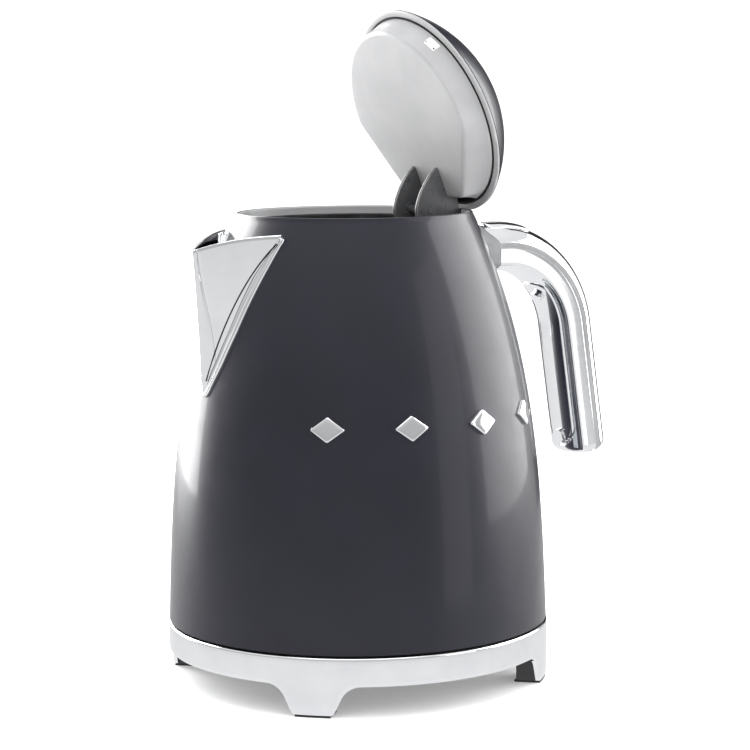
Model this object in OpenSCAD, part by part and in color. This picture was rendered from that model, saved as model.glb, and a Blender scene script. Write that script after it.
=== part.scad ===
// Retro electric kettle on a round swivel base, shown with its lid held open.
// The origin is on the body's axis at table level, +Z is up,
// the spout points along -X and the handle along +X. Millimetres.

/* [Body] */
// Diameter of the painted body at its bottom edge
body_d = 171.4; // [168:0.2:175]
// Height of the body's bottom edge above the table
body_bottom_z = 27; // [26.8:0.1:28]
// Height of the mouth's rim above the table
rim_z = 210; // [209:0.5:212]
// Part of the body's taper that grows evenly with height
taper_even = 6.3; // [5.5:0.1:7]
// Part of the body's taper that gathers towards the shoulder
taper_shoulder = 26.8; // [26:0.1:27.5]
// Thickness of the body's sheet steel
body_wall = 1.0; // [0.8:0.1:1.2]

/* [Base] */
// Outer diameter of the chrome base ring
ring_d = 172; // [171:0.2:174]
// Height of the base ring's top edge
ring_top_z = 26; // [25:0.1:26.2]
// Height of the ring's lower edge between the feet
ring_low_z = 13.5; // [12:0.5:15]
// Width of a foot where it meets the table
foot_w = 19.6; // [14:0.2:21]
// Thickness of the rubber pad under each foot
pad_t = 0.8; // [0.6:0.1:1.5]
// Radius of the cord outlet in the base
cord_r = 3.5; // [3:0.1:4]

/* [Lid] */
// Outer radius of the lid's ring
lid_r = 49.1; // [48.5:0.1:49.5]
// Height of the ring's underside when the lid is shut
lid_plane_z = 211; // [210.8:0.1:212]
// Height of the dome above the ring's underside
dome_h = 27; // [24:0.5:30]
// Depth of the inner cover below the ring's underside
cover_depth = 11; // [9:0.5:12]
// How far the lid stands open, in degrees
lid_open = 67.4; // [60:0.1:68]

/* [Handle] */
// Height of the handle's centre line where it leaves the body
handle_root_z = 192; // [191:0.5:193]
// Radius of the bend in the handle's centre line
bend_r = 44.5; // [43:0.5:46]
// Distance of the bend's centre from the body's axis
bend_x = 74.8; // [74:0.2:76]
// Angle through which the handle bends down, in degrees
bend_angle = 81.7; // [80:0.1:83]
// Length of the straight grip below the bend
grip_l = 62; // [55:1:66]
// Width of the handle from side to side
handle_w = 26; // [24:0.5:28]

/* [Spout] */
// Distance of the spout's tip from the body's axis
spout_reach = 82.4; // [81:0.1:84]
// Height of the spout's tip
spout_tip_z = 196; // [194:0.5:197]
// Half of the angle between the spout's two flat sides
spout_half_angle = 39.5; // [37:0.5:42]

/* [Studs] */
// Height of the row of studs on each side
stud_z = 122.5; // [110:0.5:130]
// Angle between neighbouring studs round the body
stud_pitch = 26; // [24:0.5:28]

/* [Hidden] */

$fn = 64;
e = 1;                 // overshoot of cutting tools
gap = 0.05;            // hairline between pieces that sit against each other
slate = [0.19, 0.19, 0.22];
chrome = [0.86, 0.87, 0.89];
satin = [0.66, 0.67, 0.68];
dark = [0.14, 0.14, 0.15];
grey = [0.58, 0.59, 0.6];
brass = [0.8, 0.62, 0.3];
white = [0.92, 0.92, 0.9];

// ---- Body outline -----------------------------------------------------------
body_r = body_d / 2;
shell_steps = 24;

function rise(z) = (z - body_bottom_z) / (rim_z - body_bottom_z);
function shell_r(z) = body_r - taper_even * rise(z) - taper_shoulder * pow(rise(z), 3);
function steps(z0, z1, n) = [for (i = [0 : n]) z0 + (z1 - z0) * i / n];

// A band of revolution between two offsets from the body's outer surface
module shell_band(z0, z1, off_in, off_out, n = shell_steps) {
    up = [for (z = steps(z0, z1, n)) [shell_r(z) + off_out, z]];
    down = [for (z = steps(z1, z0, n)) [shell_r(z) + off_in, z]];
    rotate_extrude() polygon(concat(up, down));
}

// The whole space inside the body's outer surface, offset outwards by off
module body_solid(off = 0, z0 = 20, z1 = 216) {
    up = [for (z = steps(z0, z1, shell_steps)) [shell_r(z) + off, z]];
    rotate_extrude() polygon(concat([[0, z0]], up, [[0, z1]]));
}

// A block centred on Y
module slab(x0, x1, w, z0, z1) {
    translate([x0, -w / 2, z0]) cube([x1 - x0, w, z1 - z0]);
}

// A straight pin along X or along Y, centred on Y
module rod_x(x0, x1, z, r, y = 0) {
    translate([x0, y, z]) rotate([0, 90, 0]) cylinder(r = r, h = x1 - x0);
}
module rod_y(x, z, w, r) {
    translate([x, w / 2, z]) rotate([90, 0, 0]) cylinder(r = r, h = w);
}

// A close-wound coil, as a sleeve with the wire's scallops on both sides
module coil_sleeve(r, wire_r, turns) {
    pitch = 1.7 * wire_r;
    rotate_extrude()
        for (i = [0 : turns - 1]) translate([r, wire_r + i * pitch]) circle(r = wire_r, $fn = 24);
}

// ---- Base -------------------------------------------------------------------
ring_r = ring_d / 2;
ring_wall = 2;
foot_angles = [45, 135, 225, 315];
foot_fillet = 9.5;
foot_root_w = 42.3;
plate_top_z = 23;
plate_low_z = 20.5;
cover_low_z = 13.3;
cover_floor = 1.4;
cover_h = plate_low_z - cover_low_z - 0.2;
post_r = 10.6;
post_top_z = 42;
gland_z = 17.4;
gland_r = cord_r + 1.5;
base_screw_x = 68;

// Outline of one foot in the plane tangent to the ring
module foot_outline() {
    side_z = ring_low_z - 0.562 * foot_fillet;
    side_x = foot_root_w / 2 - 0.899 * foot_fillet;
    chamfer = 1.6;
    difference() {
        polygon([
            [-foot_root_w / 2, ring_low_z + e], [-foot_root_w / 2, side_z], [-side_x, side_z],
            [-foot_w / 2, pad_t + chamfer], [chamfer - foot_w / 2, pad_t - e],
            [foot_w / 2 - chamfer, pad_t - e], [foot_w / 2, pad_t + chamfer],
            [side_x, side_z], [foot_root_w / 2, side_z], [foot_root_w / 2, ring_low_z + e]
        ]);
        for (s = [-1, 1])
            translate([s * foot_root_w / 2, ring_low_z - foot_fillet]) circle(r = foot_fillet);
    }
}

module base_ring() color(chrome) {
    difference() {
        rotate_extrude() polygon([
            [ring_r - ring_wall, pad_t], [ring_r - 0.1, pad_t], [ring_r, ring_top_z - 6],
            [ring_r - 0.2, ring_top_z - 0.8], [ring_r - 0.8, ring_top_z],
            [ring_r - ring_wall, ring_top_z]
        ]);
        difference() {
            translate([0, 0, -e]) cylinder(r = ring_r + 4, h = ring_low_z + e);
            for (a = foot_angles) rotate([0, 0, a])
                translate([ring_r - 20, 0, 0]) rotate([90, 0, 90])
                    linear_extrude(30) foot_outline();
        }
        rod_x(ring_r - 10, ring_r + 10, gland_z, gland_r + 0.1);
    }
}

module foot_pads() color(dark) {
    for (a = foot_angles) rotate([0, 0, a]) {
        intersection() {
            slab(70, 90, foot_w - 4, 0, pad_t - 0.02);
            difference() {
                translate([0, 0, -e]) cylinder(r = ring_r - 0.4, h = 5);
                translate([0, 0, -2 * e]) cylinder(r = ring_r - 12, h = 8);
            }
        }
    }
}

module base_top_plate() color(dark) {
    plate_r = ring_r - ring_wall - 0.1;
    difference() {
        rotate_extrude() polygon([
            [post_r + gap, plate_low_z], [plate_r, plate_low_z], [plate_r, plate_top_z],
            [20, plate_top_z], [18, plate_top_z - 0.8], [post_r + gap, plate_top_z - 0.8]
        ]);
        rod_x(ring_r - 14, ring_r + 10, gland_z, gland_r + 0.1);
    }
}

// Bottom of the base with the four blocks that stand inside the chrome feet
module base_bottom_cover() color(dark) {
    inner_r = ring_r - ring_wall - 0.1;
    difference() {
        union() {
            translate([0, 0, cover_low_z]) cylinder(r = inner_r, h = cover_floor);
            difference() {
                translate([0, 0, cover_low_z]) cylinder(r = inner_r, h = cover_h);
                translate([0, 0, cover_low_z - e]) cylinder(r = inner_r - 2, h = 12);
            }
            for (a = foot_angles) rotate([0, 0, a]) intersection() {
                slab(70, 90, foot_w - 4, pad_t, cover_low_z + e);
                difference() {
                    translate([0, 0, -e]) cylinder(r = inner_r, h = 20);
                    translate([0, 0, -2 * e]) cylinder(r = inner_r - 9, h = 22);
                }
            }
            for (a = foot_angles) rotate([0, 0, a + 45])
                translate([base_screw_x, 0, cover_low_z]) cylinder(r = 4, h = cover_h);
        }
        for (a = foot_angles) rotate([0, 0, a + 45]) translate([base_screw_x, 0, 0]) {
            translate([0, 0, cover_low_z - e]) cylinder(r = 1.6, h = 12);
            translate([0, 0, cover_low_z - e]) cylinder(r = 3.2, h = e + 1.6);
        }
        rod_x(ring_r - 14, ring_r + 10, gland_z, gland_r + 0.1);
    }
}

module base_screws() color(satin) {
    for (a = foot_angles) rotate([0, 0, a + 45]) translate([base_screw_x, 0, 0]) {
        translate([0, 0, cover_low_z + 0.3]) cylinder(r = 3, h = 1.3);
        translate([0, 0, cover_low_z + e]) cylinder(r = 1.5, h = cover_h - 1.2);
    }
}

slot_in_r = 6.4;
slot_out_r = 8.5;
slot_floor_z = 27;
pin_hole_r = 2.3;

module connector_post() color(dark) {
    rotate_extrude() polygon([
        [pin_hole_r, 18.4], [14, 18.4], [14, plate_low_z - gap], [post_r, plate_low_z - gap],
        [post_r, post_top_z - 0.8], [post_r - 0.8, post_top_z], [slot_out_r, post_top_z],
        [slot_out_r, slot_floor_z], [slot_in_r, slot_floor_z], [slot_in_r, post_top_z],
        [pin_hole_r, post_top_z]
    ]);
}

module contact_rings() color(brass) {
    for (band = [[slot_in_r + gap, 6.95], [7.8, slot_out_r - gap]])
        rotate_extrude() polygon([
            [band[0], slot_floor_z + gap], [band[1], slot_floor_z + gap],
            [band[1], post_top_z - 2], [band[0], post_top_z - 2]
        ]);
}

module connector_pin() color(brass) {
    translate([0, 0, 14.8]) cylinder(r = 1.5, h = post_top_z - 17.3);
    translate([0, 0, 14.8]) cylinder(r = 5, h = 1.2);
}

module terminal_block() color(white) {
    difference() {
        slab(28, 46, 22, cover_low_z + cover_floor + 0.1, 19.6);
        for (y = [-6, 0, 6]) translate([37, y, 16]) cylinder(r = 1.8, h = 6);
    }
}

module cord_gland() color(dark) {
    inner_r = ring_r - ring_wall;
    difference() {
        union() {
            rod_x(inner_r - 9, ring_r + 1.4, gland_z, gland_r);
            rod_x(ring_r + 0.1, ring_r + 1.6, gland_z, gland_r + 1.5);
            // inner collar, flattened so that the two covers keep it from turning
            intersection() {
                rod_x(inner_r - 6, inner_r - 3.2, gland_z, gland_r + 1.3);
                slab(inner_r - 7, inner_r - 2, 20, cover_low_z + cover_floor + gap, plate_low_z - gap);
            }
        }
        rod_x(inner_r - 12, ring_r + 4, gland_z, cord_r);
    }
}

// ---- Swivel -----------------------------------------------------------------
module connector_guide_ring() color(grey) {
    rotate_extrude() polygon([
        [post_r + 0.08, plate_top_z - 0.7], [13.6, plate_top_z - 0.7], [13.6, plate_top_z + 0.6],
        [12.2, plate_top_z + 2.6], [post_r + 0.08, plate_top_z + 2.6]
    ]);
}

// ---- Spout ------------------------------------------------------------------
ridge_lean = 4.18;
ridge_round = 2.5;
spout_wall = 1.2;
lip_slope = 8.7;
flange_t = 1.3;

// Half outline of the flange's outer edge, as [distance from the middle, height]
flange_edge = [[2.2, 132.4], [9.6, 146], [14.8, 159.9], [18.9, 175], [22.4, 188], [25.6, 201.8]];

// A wedge with a rounded ridge, inset by d from the spout's outer faces
module beak_outline(d) {
    r = ridge_round - d;
    h = spout_half_angle;
    side = 60;
    tip = [for (a = [90 + h : 2 * (90 - h) / 8 : 270 - h + 0.01])
        [ridge_round + r * cos(a), r * sin(a)]];
    far_low = tip[8] + side * [cos(h), -sin(h)];
    far_high = tip[0] + side * [cos(h), sin(h)];
    polygon(concat(tip, [far_low, far_high]));
}

module beak(d, z0 = -70, z1 = 20) {
    translate([-spout_reach, 0, spout_tip_z]) rotate([0, -ridge_lean, 0])
        translate([0, 0, z0]) linear_extrude(z1 - z0) beak_outline(d);
}

module above_lip() {
    translate([-spout_reach, 0, spout_tip_z]) rotate([0, -lip_slope, 0])
        translate([-20, -50, 0]) cube([80, 100, 60]);
}

module flange_prism() {
    right = flange_edge;
    left = [for (i = [len(right) - 1 : -1 : 0]) [-right[i][0], right[i][1]]];
    translate([-95, 0, 0]) rotate([90, 0, 90])
        linear_extrude(60) polygon(concat([[0, 131.8]], right, left));
}

module spout() color(chrome) {
    difference() {
        union() {
            intersection() {
                beak(0);
                slab(-100, -40, 80, 128, 214);
            }
            intersection() {
                shell_band(130, 203, 0.03, flange_t);
                flange_prism();
            }
        }
        beak(spout_wall);
        above_lip();
        body_solid(0.03);
    }
}

// ---- Body shell -------------------------------------------------------------
window_z0 = 74;
window_z1 = 150;
window_w = 10;
lever_z = 37;
bolt_y = 9.5;
bolt_r = 1.5;
bolt_end_x = 72.5;
rod_z = 186;

module window_prism(grow) {
    slab(60, 100, window_w + 2 * grow, window_z0 - grow, window_z1 + grow);
}

module body_shell() color(slate) {
    rim_roll = 0.8;
    outer = [for (z = steps(body_bottom_z, rim_z - rim_roll, shell_steps)) [shell_r(z), z]];
    inner = [for (z = steps(rim_z - rim_roll, body_bottom_z, shell_steps))
        [shell_r(z) - body_wall, z]];
    top = [[shell_r(rim_z) - 0.3, rim_z], [shell_r(rim_z) - body_wall + 0.1, rim_z]];
    difference() {
        rotate_extrude() polygon(concat(outer, top, inner));
        intersection() {
            beak(spout_wall + 1);
            slab(-100, -30, 60, 150, 196.5);
        }
        window_prism(0.15);
        slab(78, 92, 8, lever_z - 6, lever_z + 6);
        for (y = [-bolt_y, bolt_y]) rod_x(50, 70, handle_root_z, bolt_r + 0.15, y);
        rod_x(50, 75, rod_z, 2.1);
    }
}

collar_in_r = 50.2;
seal_in_r = 46.5;
seal_top_z = 206.3;
hinge_notch_w = 27;

module top_collar() color(satin) {
    low_z = 201;
    top_z = rim_z - 0.2;
    wall = [for (z = steps(low_z, top_z, 6)) [shell_r(z) - body_wall - gap, z]];
    difference() {
        rotate_extrude() polygon(concat([[collar_in_r, low_z]], wall, [[collar_in_r, top_z]]));
        slab(20, 70, hinge_notch_w, low_z - e, top_z + e);
    }
}

module mouth_seal() color(dark) {
    low_z = 198;
    difference() {
        rotate_extrude() polygon([
            [seal_in_r, low_z], [shell_r(low_z + 2.9) - body_wall - 0.2, low_z],
            [shell_r(low_z + 2.9) - body_wall - 0.2, 200.9], [collar_in_r - gap, 200.9],
            [collar_in_r - gap, seal_top_z - 0.6], [collar_in_r - 0.6, seal_top_z],
            [seal_in_r, seal_top_z]
        ]);
        slab(20, 70, hinge_notch_w, low_z - e, seal_top_z + e);
    }
}

// Four plain lozenges on each side
stud_middle = 91.5;
module side_studs() color(chrome) {
    half_w = 7.6;
    half_h = 5.6;
    for (side = [-1, 1]) for (i = [-1.5, -0.5, 0.5, 1.5])
        rotate([0, 0, side * stud_middle + i * stud_pitch]) intersection() {
            shell_band(stud_z - 10, stud_z + 10, 0.03, 1.7, 6);
            translate([60, 0, stud_z]) rotate([90, 0, 90]) linear_extrude(40)
                polygon([[half_w, 0], [0, half_h], [-half_w, 0], [0, -half_h]]);
        }
}

module water_window() color([0.7, 0.78, 0.82, 0.5]) {
    intersection() {
        shell_band(window_z0 - 2, window_z1 + 2, -2.4, 0.5);
        window_prism(0);
    }
}

module window_gasket() color(dark) {
    difference() {
        intersection() {
            shell_band(window_z0 - 6, window_z1 + 6, -2.4, -body_wall - gap);
            window_prism(3);
        }
        window_prism(0.05);
    }
}

// ---- Heater and controls ----------------------------------------------------
plate_z = 52;
heater_r = 55;
heater_tube_r = 4;
heater_z = plate_z - heater_tube_r - 0.1;
heater_gap = 62;
heater_middle = 17.5;                          // bearing of the gap's middle
steam_x = 48;
steam_y = 22;
steam_r = 4;
control_r = 24;
frame_screw_x = 74;

module element_plate() color(satin) {
    difference() {
        rotate_extrude() polygon([
            [0, plate_z], [83.3, plate_z], [83.3, plate_z + 6], [82.5, plate_z + 6],
            [82.5, plate_z + 1.2], [0, plate_z + 1.2]
        ]);
        translate([steam_x, steam_y, plate_z - e]) cylinder(r = steam_r + 0.1, h = 4);
    }
}

module plate_seal() color(dark) {
    rotate_extrude() polygon([
        [79, plate_z - 2.4], [83.4, plate_z - 2.4], [83.4, plate_z - gap], [79, plate_z - gap]
    ]);
}

module heating_element() color(satin) {
    rotate([0, 0, heater_middle + heater_gap / 2])
        rotate_extrude(angle = 360 - heater_gap) translate([heater_r, heater_z]) circle(r = heater_tube_r);
    for (s = [-1, 1]) rotate([0, 0, heater_middle + s * (heater_gap / 2 + 3)])
        translate([heater_r, 0, heater_z - 12]) cylinder(r = 2, h = 11);
}

module lower_frame() color(dark) {
    difference() {
        rotate_extrude() polygon([
            [70, 31.2], [83.8, 31.2], [83.6, 46], [70, 46]
        ]);
        for (a = [60, 180, 300]) rotate([0, 0, a])
            translate([frame_screw_x, 0, 30]) cylinder(r = 1.45, h = 12);
        slab(60, 90, 9, lever_z - 7, lever_z + 7);
    }
}

module control_unit() color(dark) {
    difference() {
        translate([0, 0, 27]) cylinder(r = control_r, h = plate_z - 27 - 0.2);
        translate([0, 0, 26]) cylinder(r = post_r + 0.6, h = post_top_z + 1.4 - 26);
        difference() {
            translate([0, 0, 26]) cylinder(r = control_r + e, h = 8);
            translate([0, 0, 25]) cylinder(r = 16, h = 10);
        }
    }
}

// The kettle's own contacts, which stand in the base connector's slots
module control_contacts() color(brass) {
    top_z = post_top_z + 1.4;
    for (band = [[1.6, 2.1], [7.15, 7.6]])
        rotate_extrude() polygon([
            [band[0], slot_floor_z + 3], [band[1], slot_floor_z + 3],
            [band[1], top_z], [band[0], top_z]
        ]);
}

module bottom_cover() color(dark) {
    difference() {
        rotate_extrude() polygon([
            [16.3, plate_top_z + 0.3], [82.6, plate_top_z + 0.3], [82.6, 26.4], [84.3, 26.9],
            [84.3, 31], [82.2, 31], [82.2, 25.6], [16.3, 25.6]
        ]);
        for (a = [60, 180, 300]) rotate([0, 0, a]) translate([frame_screw_x, 0, 0]) {
            translate([0, 0, 20]) cylinder(r = 1.6, h = 10);
            translate([0, 0, 20]) cylinder(r = 3.2, h = 4.6);
        }
    }
}

module bottom_screws() color(satin) {
    for (a = [60, 180, 300]) rotate([0, 0, a]) translate([frame_screw_x, 0, 0]) {
        translate([0, 0, plate_top_z + 0.5]) cylinder(r = 3, h = 1.1);
        translate([0, 0, plate_top_z + 1]) cylinder(r = 1.4, h = 16);
    }
}

module steam_tube() color(satin) {
    translate([steam_x, steam_y, 45]) difference() {
        cylinder(r = steam_r, h = 140);
        translate([0, 0, -e]) cylinder(r = steam_r - 0.8, h = 142);
    }
}

lever_x = 66;
lever_rest_tilt = 7;

module switch_housing() color(dark) {
    difference() {
        slab(44, 68.6, 24, 28, 43);
        slab(58, 80, 6, lever_z - 5.5, lever_z + 5.5);
        rod_y(lever_x, lever_z, 18, 1.25);
        translate([steam_x, steam_y - 6, 40]) cylinder(r = 3, h = 10);
    }
}

module lever_bezel() color(chrome) {
    difference() {
        intersection() {
            shell_band(lever_z - 9, lever_z + 9, 0.03, 1.2, 4);
            slab(70, 95, 14, lever_z - 8.5, lever_z + 8.5);
        }
        slab(70, 95, 8, lever_z - 6, lever_z + 6);
    }
}

module lever_pose() {
    translate([lever_x, 0, lever_z]) rotate([0, -lever_rest_tilt, 0]) children();
}

module switch_lever() color(dark) {
    lever_pose() {
        rotate([0, 90, 0]) cylinder(r = 1.7, h = 26);
        rotate([90, 0, 0]) translate([0, 0, -2.4]) cylinder(r = 3, h = 4.8);
        rotate([90, 0, 0]) translate([0, 0, -8]) cylinder(r = 1.2, h = 16);
    }
}

module lever_knob() color(chrome) {
    lever_pose() difference() {
        translate([27, 0, 0]) sphere(r = 4.2);
        rotate([0, 90, 0]) cylinder(r = 1.7 + 0.02, h = 26.02);
    }
}

// ---- Lid hinge and latch ----------------------------------------------------
pivot = [51, 0, 202.2];
hinge_pin_r = 1.4;
arm_in_y = 8;
arm_out_y = 10.5;
lug_in_y = 5;
lug_out_y = 7;
bolt_head_x = 55.9;
catch = [37.9, 0, 190.1];
hook_pivot = [44, 0, 180];

// A pair of plates at plus and minus Y, extruded from an outline in X and Z
module plate_pair(y0, y1) {
    for (s = [0, 1]) mirror([0, s, 0])
        translate([0, y1, 0]) rotate([90, 0, 0]) linear_extrude(y1 - y0) children();
}

module hinge_bracket() color(dark) {
    difference() {
        intersection() {
            union() {
                plate_pair(lug_in_y, lug_out_y) union() {
                    translate([pivot.x, pivot.z]) circle(r = 2.9);
                    polygon([
                        [48.6, 200.6], [53.6, 203.4], [64, 190], [66, 184], [52, 176.5],
                        [44, 176.6], [41, 179.6], [42.4, 182.8], [48, 187]
                    ]);
                }
                // web along the shell, which the handle's bolts clamp
                intersection() {
                    slab(50, 70, 2 * (bolt_y + 3.2), 183, 198);
                    shell_band(183, 198, -body_wall - 2.2, 0, 6);
                }
            }
            body_solid(-body_wall - gap);
        }
        for (y = [-bolt_y, bolt_y]) {
            rod_x(40, 75, handle_root_z, bolt_r + 0.1, y);
            rod_x(40, bolt_head_x, handle_root_z, 2.5, y);
        }
        rod_y(pivot.x, pivot.z, 40, hinge_pin_r + 0.02);
        rod_y(hook_pivot.x, hook_pivot.z, 40, 1.22);
        rod_x(40, 75, rod_z, 1.9);
    }
}

module hinge_pin() color(satin) {
    rod_y(pivot.x, pivot.z, 2 * arm_out_y + 0.6, hinge_pin_r);
}

module hinge_spring() color(satin) {
    wire = 0.4;
    translate([pivot.x, 3.6, pivot.z]) rotate([90, 0, 0]) coil_sleeve(2.1, wire, 10);
    translate([pivot.x + 2.1, 3.2, pivot.z - 8]) cylinder(r = wire, h = 8, $fn = 24);
}

module latch_pivot() color(satin) {
    rod_y(hook_pivot.x, hook_pivot.z, 2 * lug_out_y + 0.4, 1.2);
}

module latch_spring() color(satin) {
    translate([hook_pivot.x, 4.8, hook_pivot.z]) rotate([90, 0, 0]) coil_sleeve(1.75, 0.35, 3);
}

module latch_hook() color(satin) {
    difference() {
        rotate([90, 0, 0]) translate([0, 0, -2.8]) linear_extrude(5.6) union() {
            translate([hook_pivot.x, hook_pivot.z]) circle(r = 3);
            polygon([
                [41.2, 179], [45, 177.2], [45.6, 182], [46.2, 188], [43.8, 188], [42.6, 183.4],
                [38.6, 183.6], [34.4, 189.4], [32.6, 190.2], [33.4, 185.6], [36.8, 180.6]
            ]);
        }
        rod_y(hook_pivot.x, hook_pivot.z, 20, 1.25);
    }
}

module release_rod() color(satin) {
    rod_x(46.5, 75, rod_z, 1.5);
}

// ---- Lid, drawn shut and then swung open ------------------------------------
lid_x = -1;
seat_r = 45.8;
cover_r = 43;
cover_top_r = 45.1;
cover_wall = 1.5;
cover_z = lid_plane_z - cover_depth;
dome_base_z = lid_plane_z + 1.2;
dome_rise = dome_h - 1.2;
dome_sphere_r = (lid_r * lid_r + dome_rise * dome_rise) / (2 * dome_rise);
dome_sphere_z = lid_plane_z + dome_h - dome_sphere_r;
dome_wall = 1.2;

module lid_pose() {
    translate(pivot) rotate([0, lid_open, 0]) translate(-pivot) children();
}

module lid_dome() color(slate) {
    lid_pose() translate([lid_x, 0, 0]) difference() {
        intersection() {
            translate([0, 0, dome_sphere_z]) sphere(r = dome_sphere_r);
            translate([0, 0, dome_base_z]) cylinder(r = lid_r - 0.05, h = dome_h);
        }
        translate([0, 0, dome_sphere_z]) sphere(r = dome_sphere_r - dome_wall);
    }
}

module lid_ring() color(satin) {
    lid_pose() translate([lid_x, 0, 0]) rotate_extrude() polygon([
        [seat_r, lid_plane_z], [lid_r - 0.4, lid_plane_z], [lid_r, lid_plane_z + 0.4],
        [lid_r, lid_plane_z + 1.15], [47.3, lid_plane_z + 1.15], [46.4, lid_plane_z + 2.1],
        [seat_r, lid_plane_z + 2.1]
    ]);
}

module lid_gasket() color(dark) {
    lid_pose() translate([lid_x, 0, 0]) rotate_extrude() polygon([
        [seat_r - 0.6, lid_plane_z - 0.4], [seat_r - 0.05, lid_plane_z - 0.4],
        [seat_r - 0.05, lid_plane_z + 2], [seat_r - 0.6, lid_plane_z + 2]
    ]);
}

// Plan of the inner cover: round in front, cut straight towards the hinge
module cover_plan(inset) {
    side = 60;
    rear_x = 37 - inset;
    cut = cover_r - inset;
    polygon([
        [-side, -side], [0, -side], [0, -cut - 1], [rear_x, -22 + 0.6 * inset],
        [rear_x, 22 - 0.6 * inset], [0, cut + 1], [0, side], [-side, side]
    ]);
}

module cover_cone(inset, z0) {
    translate([0, 0, z0]) cylinder(
        r1 = cover_r - inset, r2 = cover_top_r - inset, h = lid_plane_z - cover_z);
}

module clip_places() {
    for (s = [-1, 1]) rotate([0, 0, 180 + s * 40]) children();
}

module lid_inner_cover() color(satin) {
    lid_pose() difference() {
        translate([lid_x, 0, 0]) difference() {
            union() {
                intersection() {
                    cover_cone(0, cover_z);
                    translate([0, 0, cover_z - e]) linear_extrude(20) cover_plan(0);
                }
                translate([0, 0, lid_plane_z - 1.5]) cylinder(r = cover_top_r - 0.3, h = 1.5);
            }
            intersection() {
                cover_cone(cover_wall, cover_z + cover_wall);
                translate([0, 0, cover_z]) linear_extrude(20) cover_plan(cover_wall);
            }
            translate([0, 0, lid_plane_z - 0.2]) cylinder(r = 30, h = 4);
            slab(36, 60, 34, lid_plane_z - 5, lid_plane_z + 5);
            clip_places() slab(cover_top_r - 1.75, 60, 7.1, lid_plane_z - 1.45, lid_plane_z + 1);
        }
        plate_pair(arm_in_y - 0.1, arm_out_y + 0.1)
            polygon([[20, 190], [60, 190], [60, 214], [20, 214]]);
    }
}

// Stiffening frame between the inner cover and the dome
module lid_frame() color(grey) {
    lid_pose() difference() {
        translate([lid_x, 0, lid_plane_z + 0.05]) cylinder(r = seat_r - 0.7, h = 1.8);
        translate([lid_x, 0, lid_plane_z - e]) cylinder(r = 24, h = 6);
        slab(40, 60, 30, lid_plane_z - e, lid_plane_z + 6);
    }
}

module lid_arms() color(dark) {
    bow = [53.1, 211];
    bow_r = 33.8;
    front = [for (a = [199 : 6 : 235]) [bow.x + bow_r * cos(a), bow.y + bow_r * sin(a)]];
    knuckle = [for (a = [-38 : 16 : 90])
        [pivot.x + 2.6 * cos(a), pivot.z + 2.6 * sin(a)]];
    lid_pose() difference() {
        plate_pair(arm_in_y, arm_out_y) polygon(concat(
            [[22, 208]], front, [[36.6, 182], [40.4, 182.2]], knuckle,
            [[44.3, 203.7], [39.1, 204.6], [33, 206.2], [32, 208]]
        ));
        rod_y(pivot.x, pivot.z, 40, hinge_pin_r + 0.06);
        rod_y(catch.x, catch.z, 40, 2.02);
    }
}

module lid_catch_pin() color(dark) {
    lid_pose() {
        rod_y(catch.x, catch.z, 2 * arm_out_y + 0.5, 2);
        for (s = [-1, 1]) translate([catch.x, s * (arm_in_y - 0.65), catch.z])
            rotate([90, 0, 0]) cylinder(r = 2.8, h = 1.2, center = true);
    }
}

module lid_clips() color(white) {
    lid_pose() translate([lid_x, 0, 0]) clip_places()
        slab(cover_top_r - 1.7, cover_top_r - 0.15, 7, lid_plane_z - 1.4, lid_plane_z - 0.2);
}

// ---- Filter -----------------------------------------------------------------
filter_foot = [-69.5, 0, 140];
filter_lean = 18.4;
filter_h = 44;
filter_w = 26;
filter_t = 1.8;

module filter_pose() {
    translate(filter_foot) rotate([0, filter_lean, 0]) children();
}

module filter_frame() color(dark) {
    filter_pose() difference() {
        slab(-filter_t / 2, filter_t / 2, filter_w, 0, filter_h);
        slab(-5, 5, filter_w - 6, 3, filter_h - 4);
    }
}

module filter_mesh() color(satin) {
    filter_pose() slab(-0.2, 0.2, filter_w - 6, 3, filter_h - 4);
}

module filter_rails() color(satin) {
    intersection() {
        filter_pose() for (s = [0, 1]) mirror([0, s, 0]) difference() {
            translate([-9, 10.8, -1.6]) cube([11, 4.4, filter_h + 2]);
            translate([-filter_t / 2 - 0.2, 5, -0.1]) cube([filter_t + 0.4, 8.3, filter_h + 5]);
            translate([-12, 5, -5]) cube([10, 8.3, filter_h + 10]);
        }
        body_solid(-body_wall - gap);
    }
}

// ---- Handle -----------------------------------------------------------------
handle_wall = 1.5;
seam = 1.2;                                  // half width of the grey seam strip
back_h = 9.5;                                // centre line to the back of the grip
front_h = 12.2;                              // centre line to the crest facing the body
front_edge = 9;                              // centre line to the front shell's edges
half_w = handle_w / 2;
// Centre and radius of the back's arc, through its crest and the seam's edges
back_c = (pow(back_h, 2) - pow(seam, 2) - pow(half_w, 2)) / (2 * (back_h - seam));
back_arc_r = back_h - back_c;
front_sag = front_h - front_edge;
front_arc_r = (pow(half_w, 2) + pow(front_sag, 2)) / (2 * front_sag);
bend_z = handle_root_z - bend_r;
root_x0 = 66;                                // where the chrome shells start

module back_section(inset) {
    intersection() {
        translate([back_c, 0]) circle(r = back_arc_r - inset);
        translate([seam + 0.03, -half_w - e]) square([back_h, 2 * half_w + 2 * e]);
    }
}

module front_section(inset) {
    intersection() {
        translate([front_arc_r - front_h, 0]) circle(r = front_arc_r - inset);
        translate([-front_h - e, inset - half_w])
            square([front_h + e - seam - 0.03, 2 * (half_w - inset)]);
    }
}

module seam_section(inset) {
    translate([-seam, inset - half_w + 0.2]) square([2 * seam, 2 * (half_w - inset - 0.2)]);
}

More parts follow.
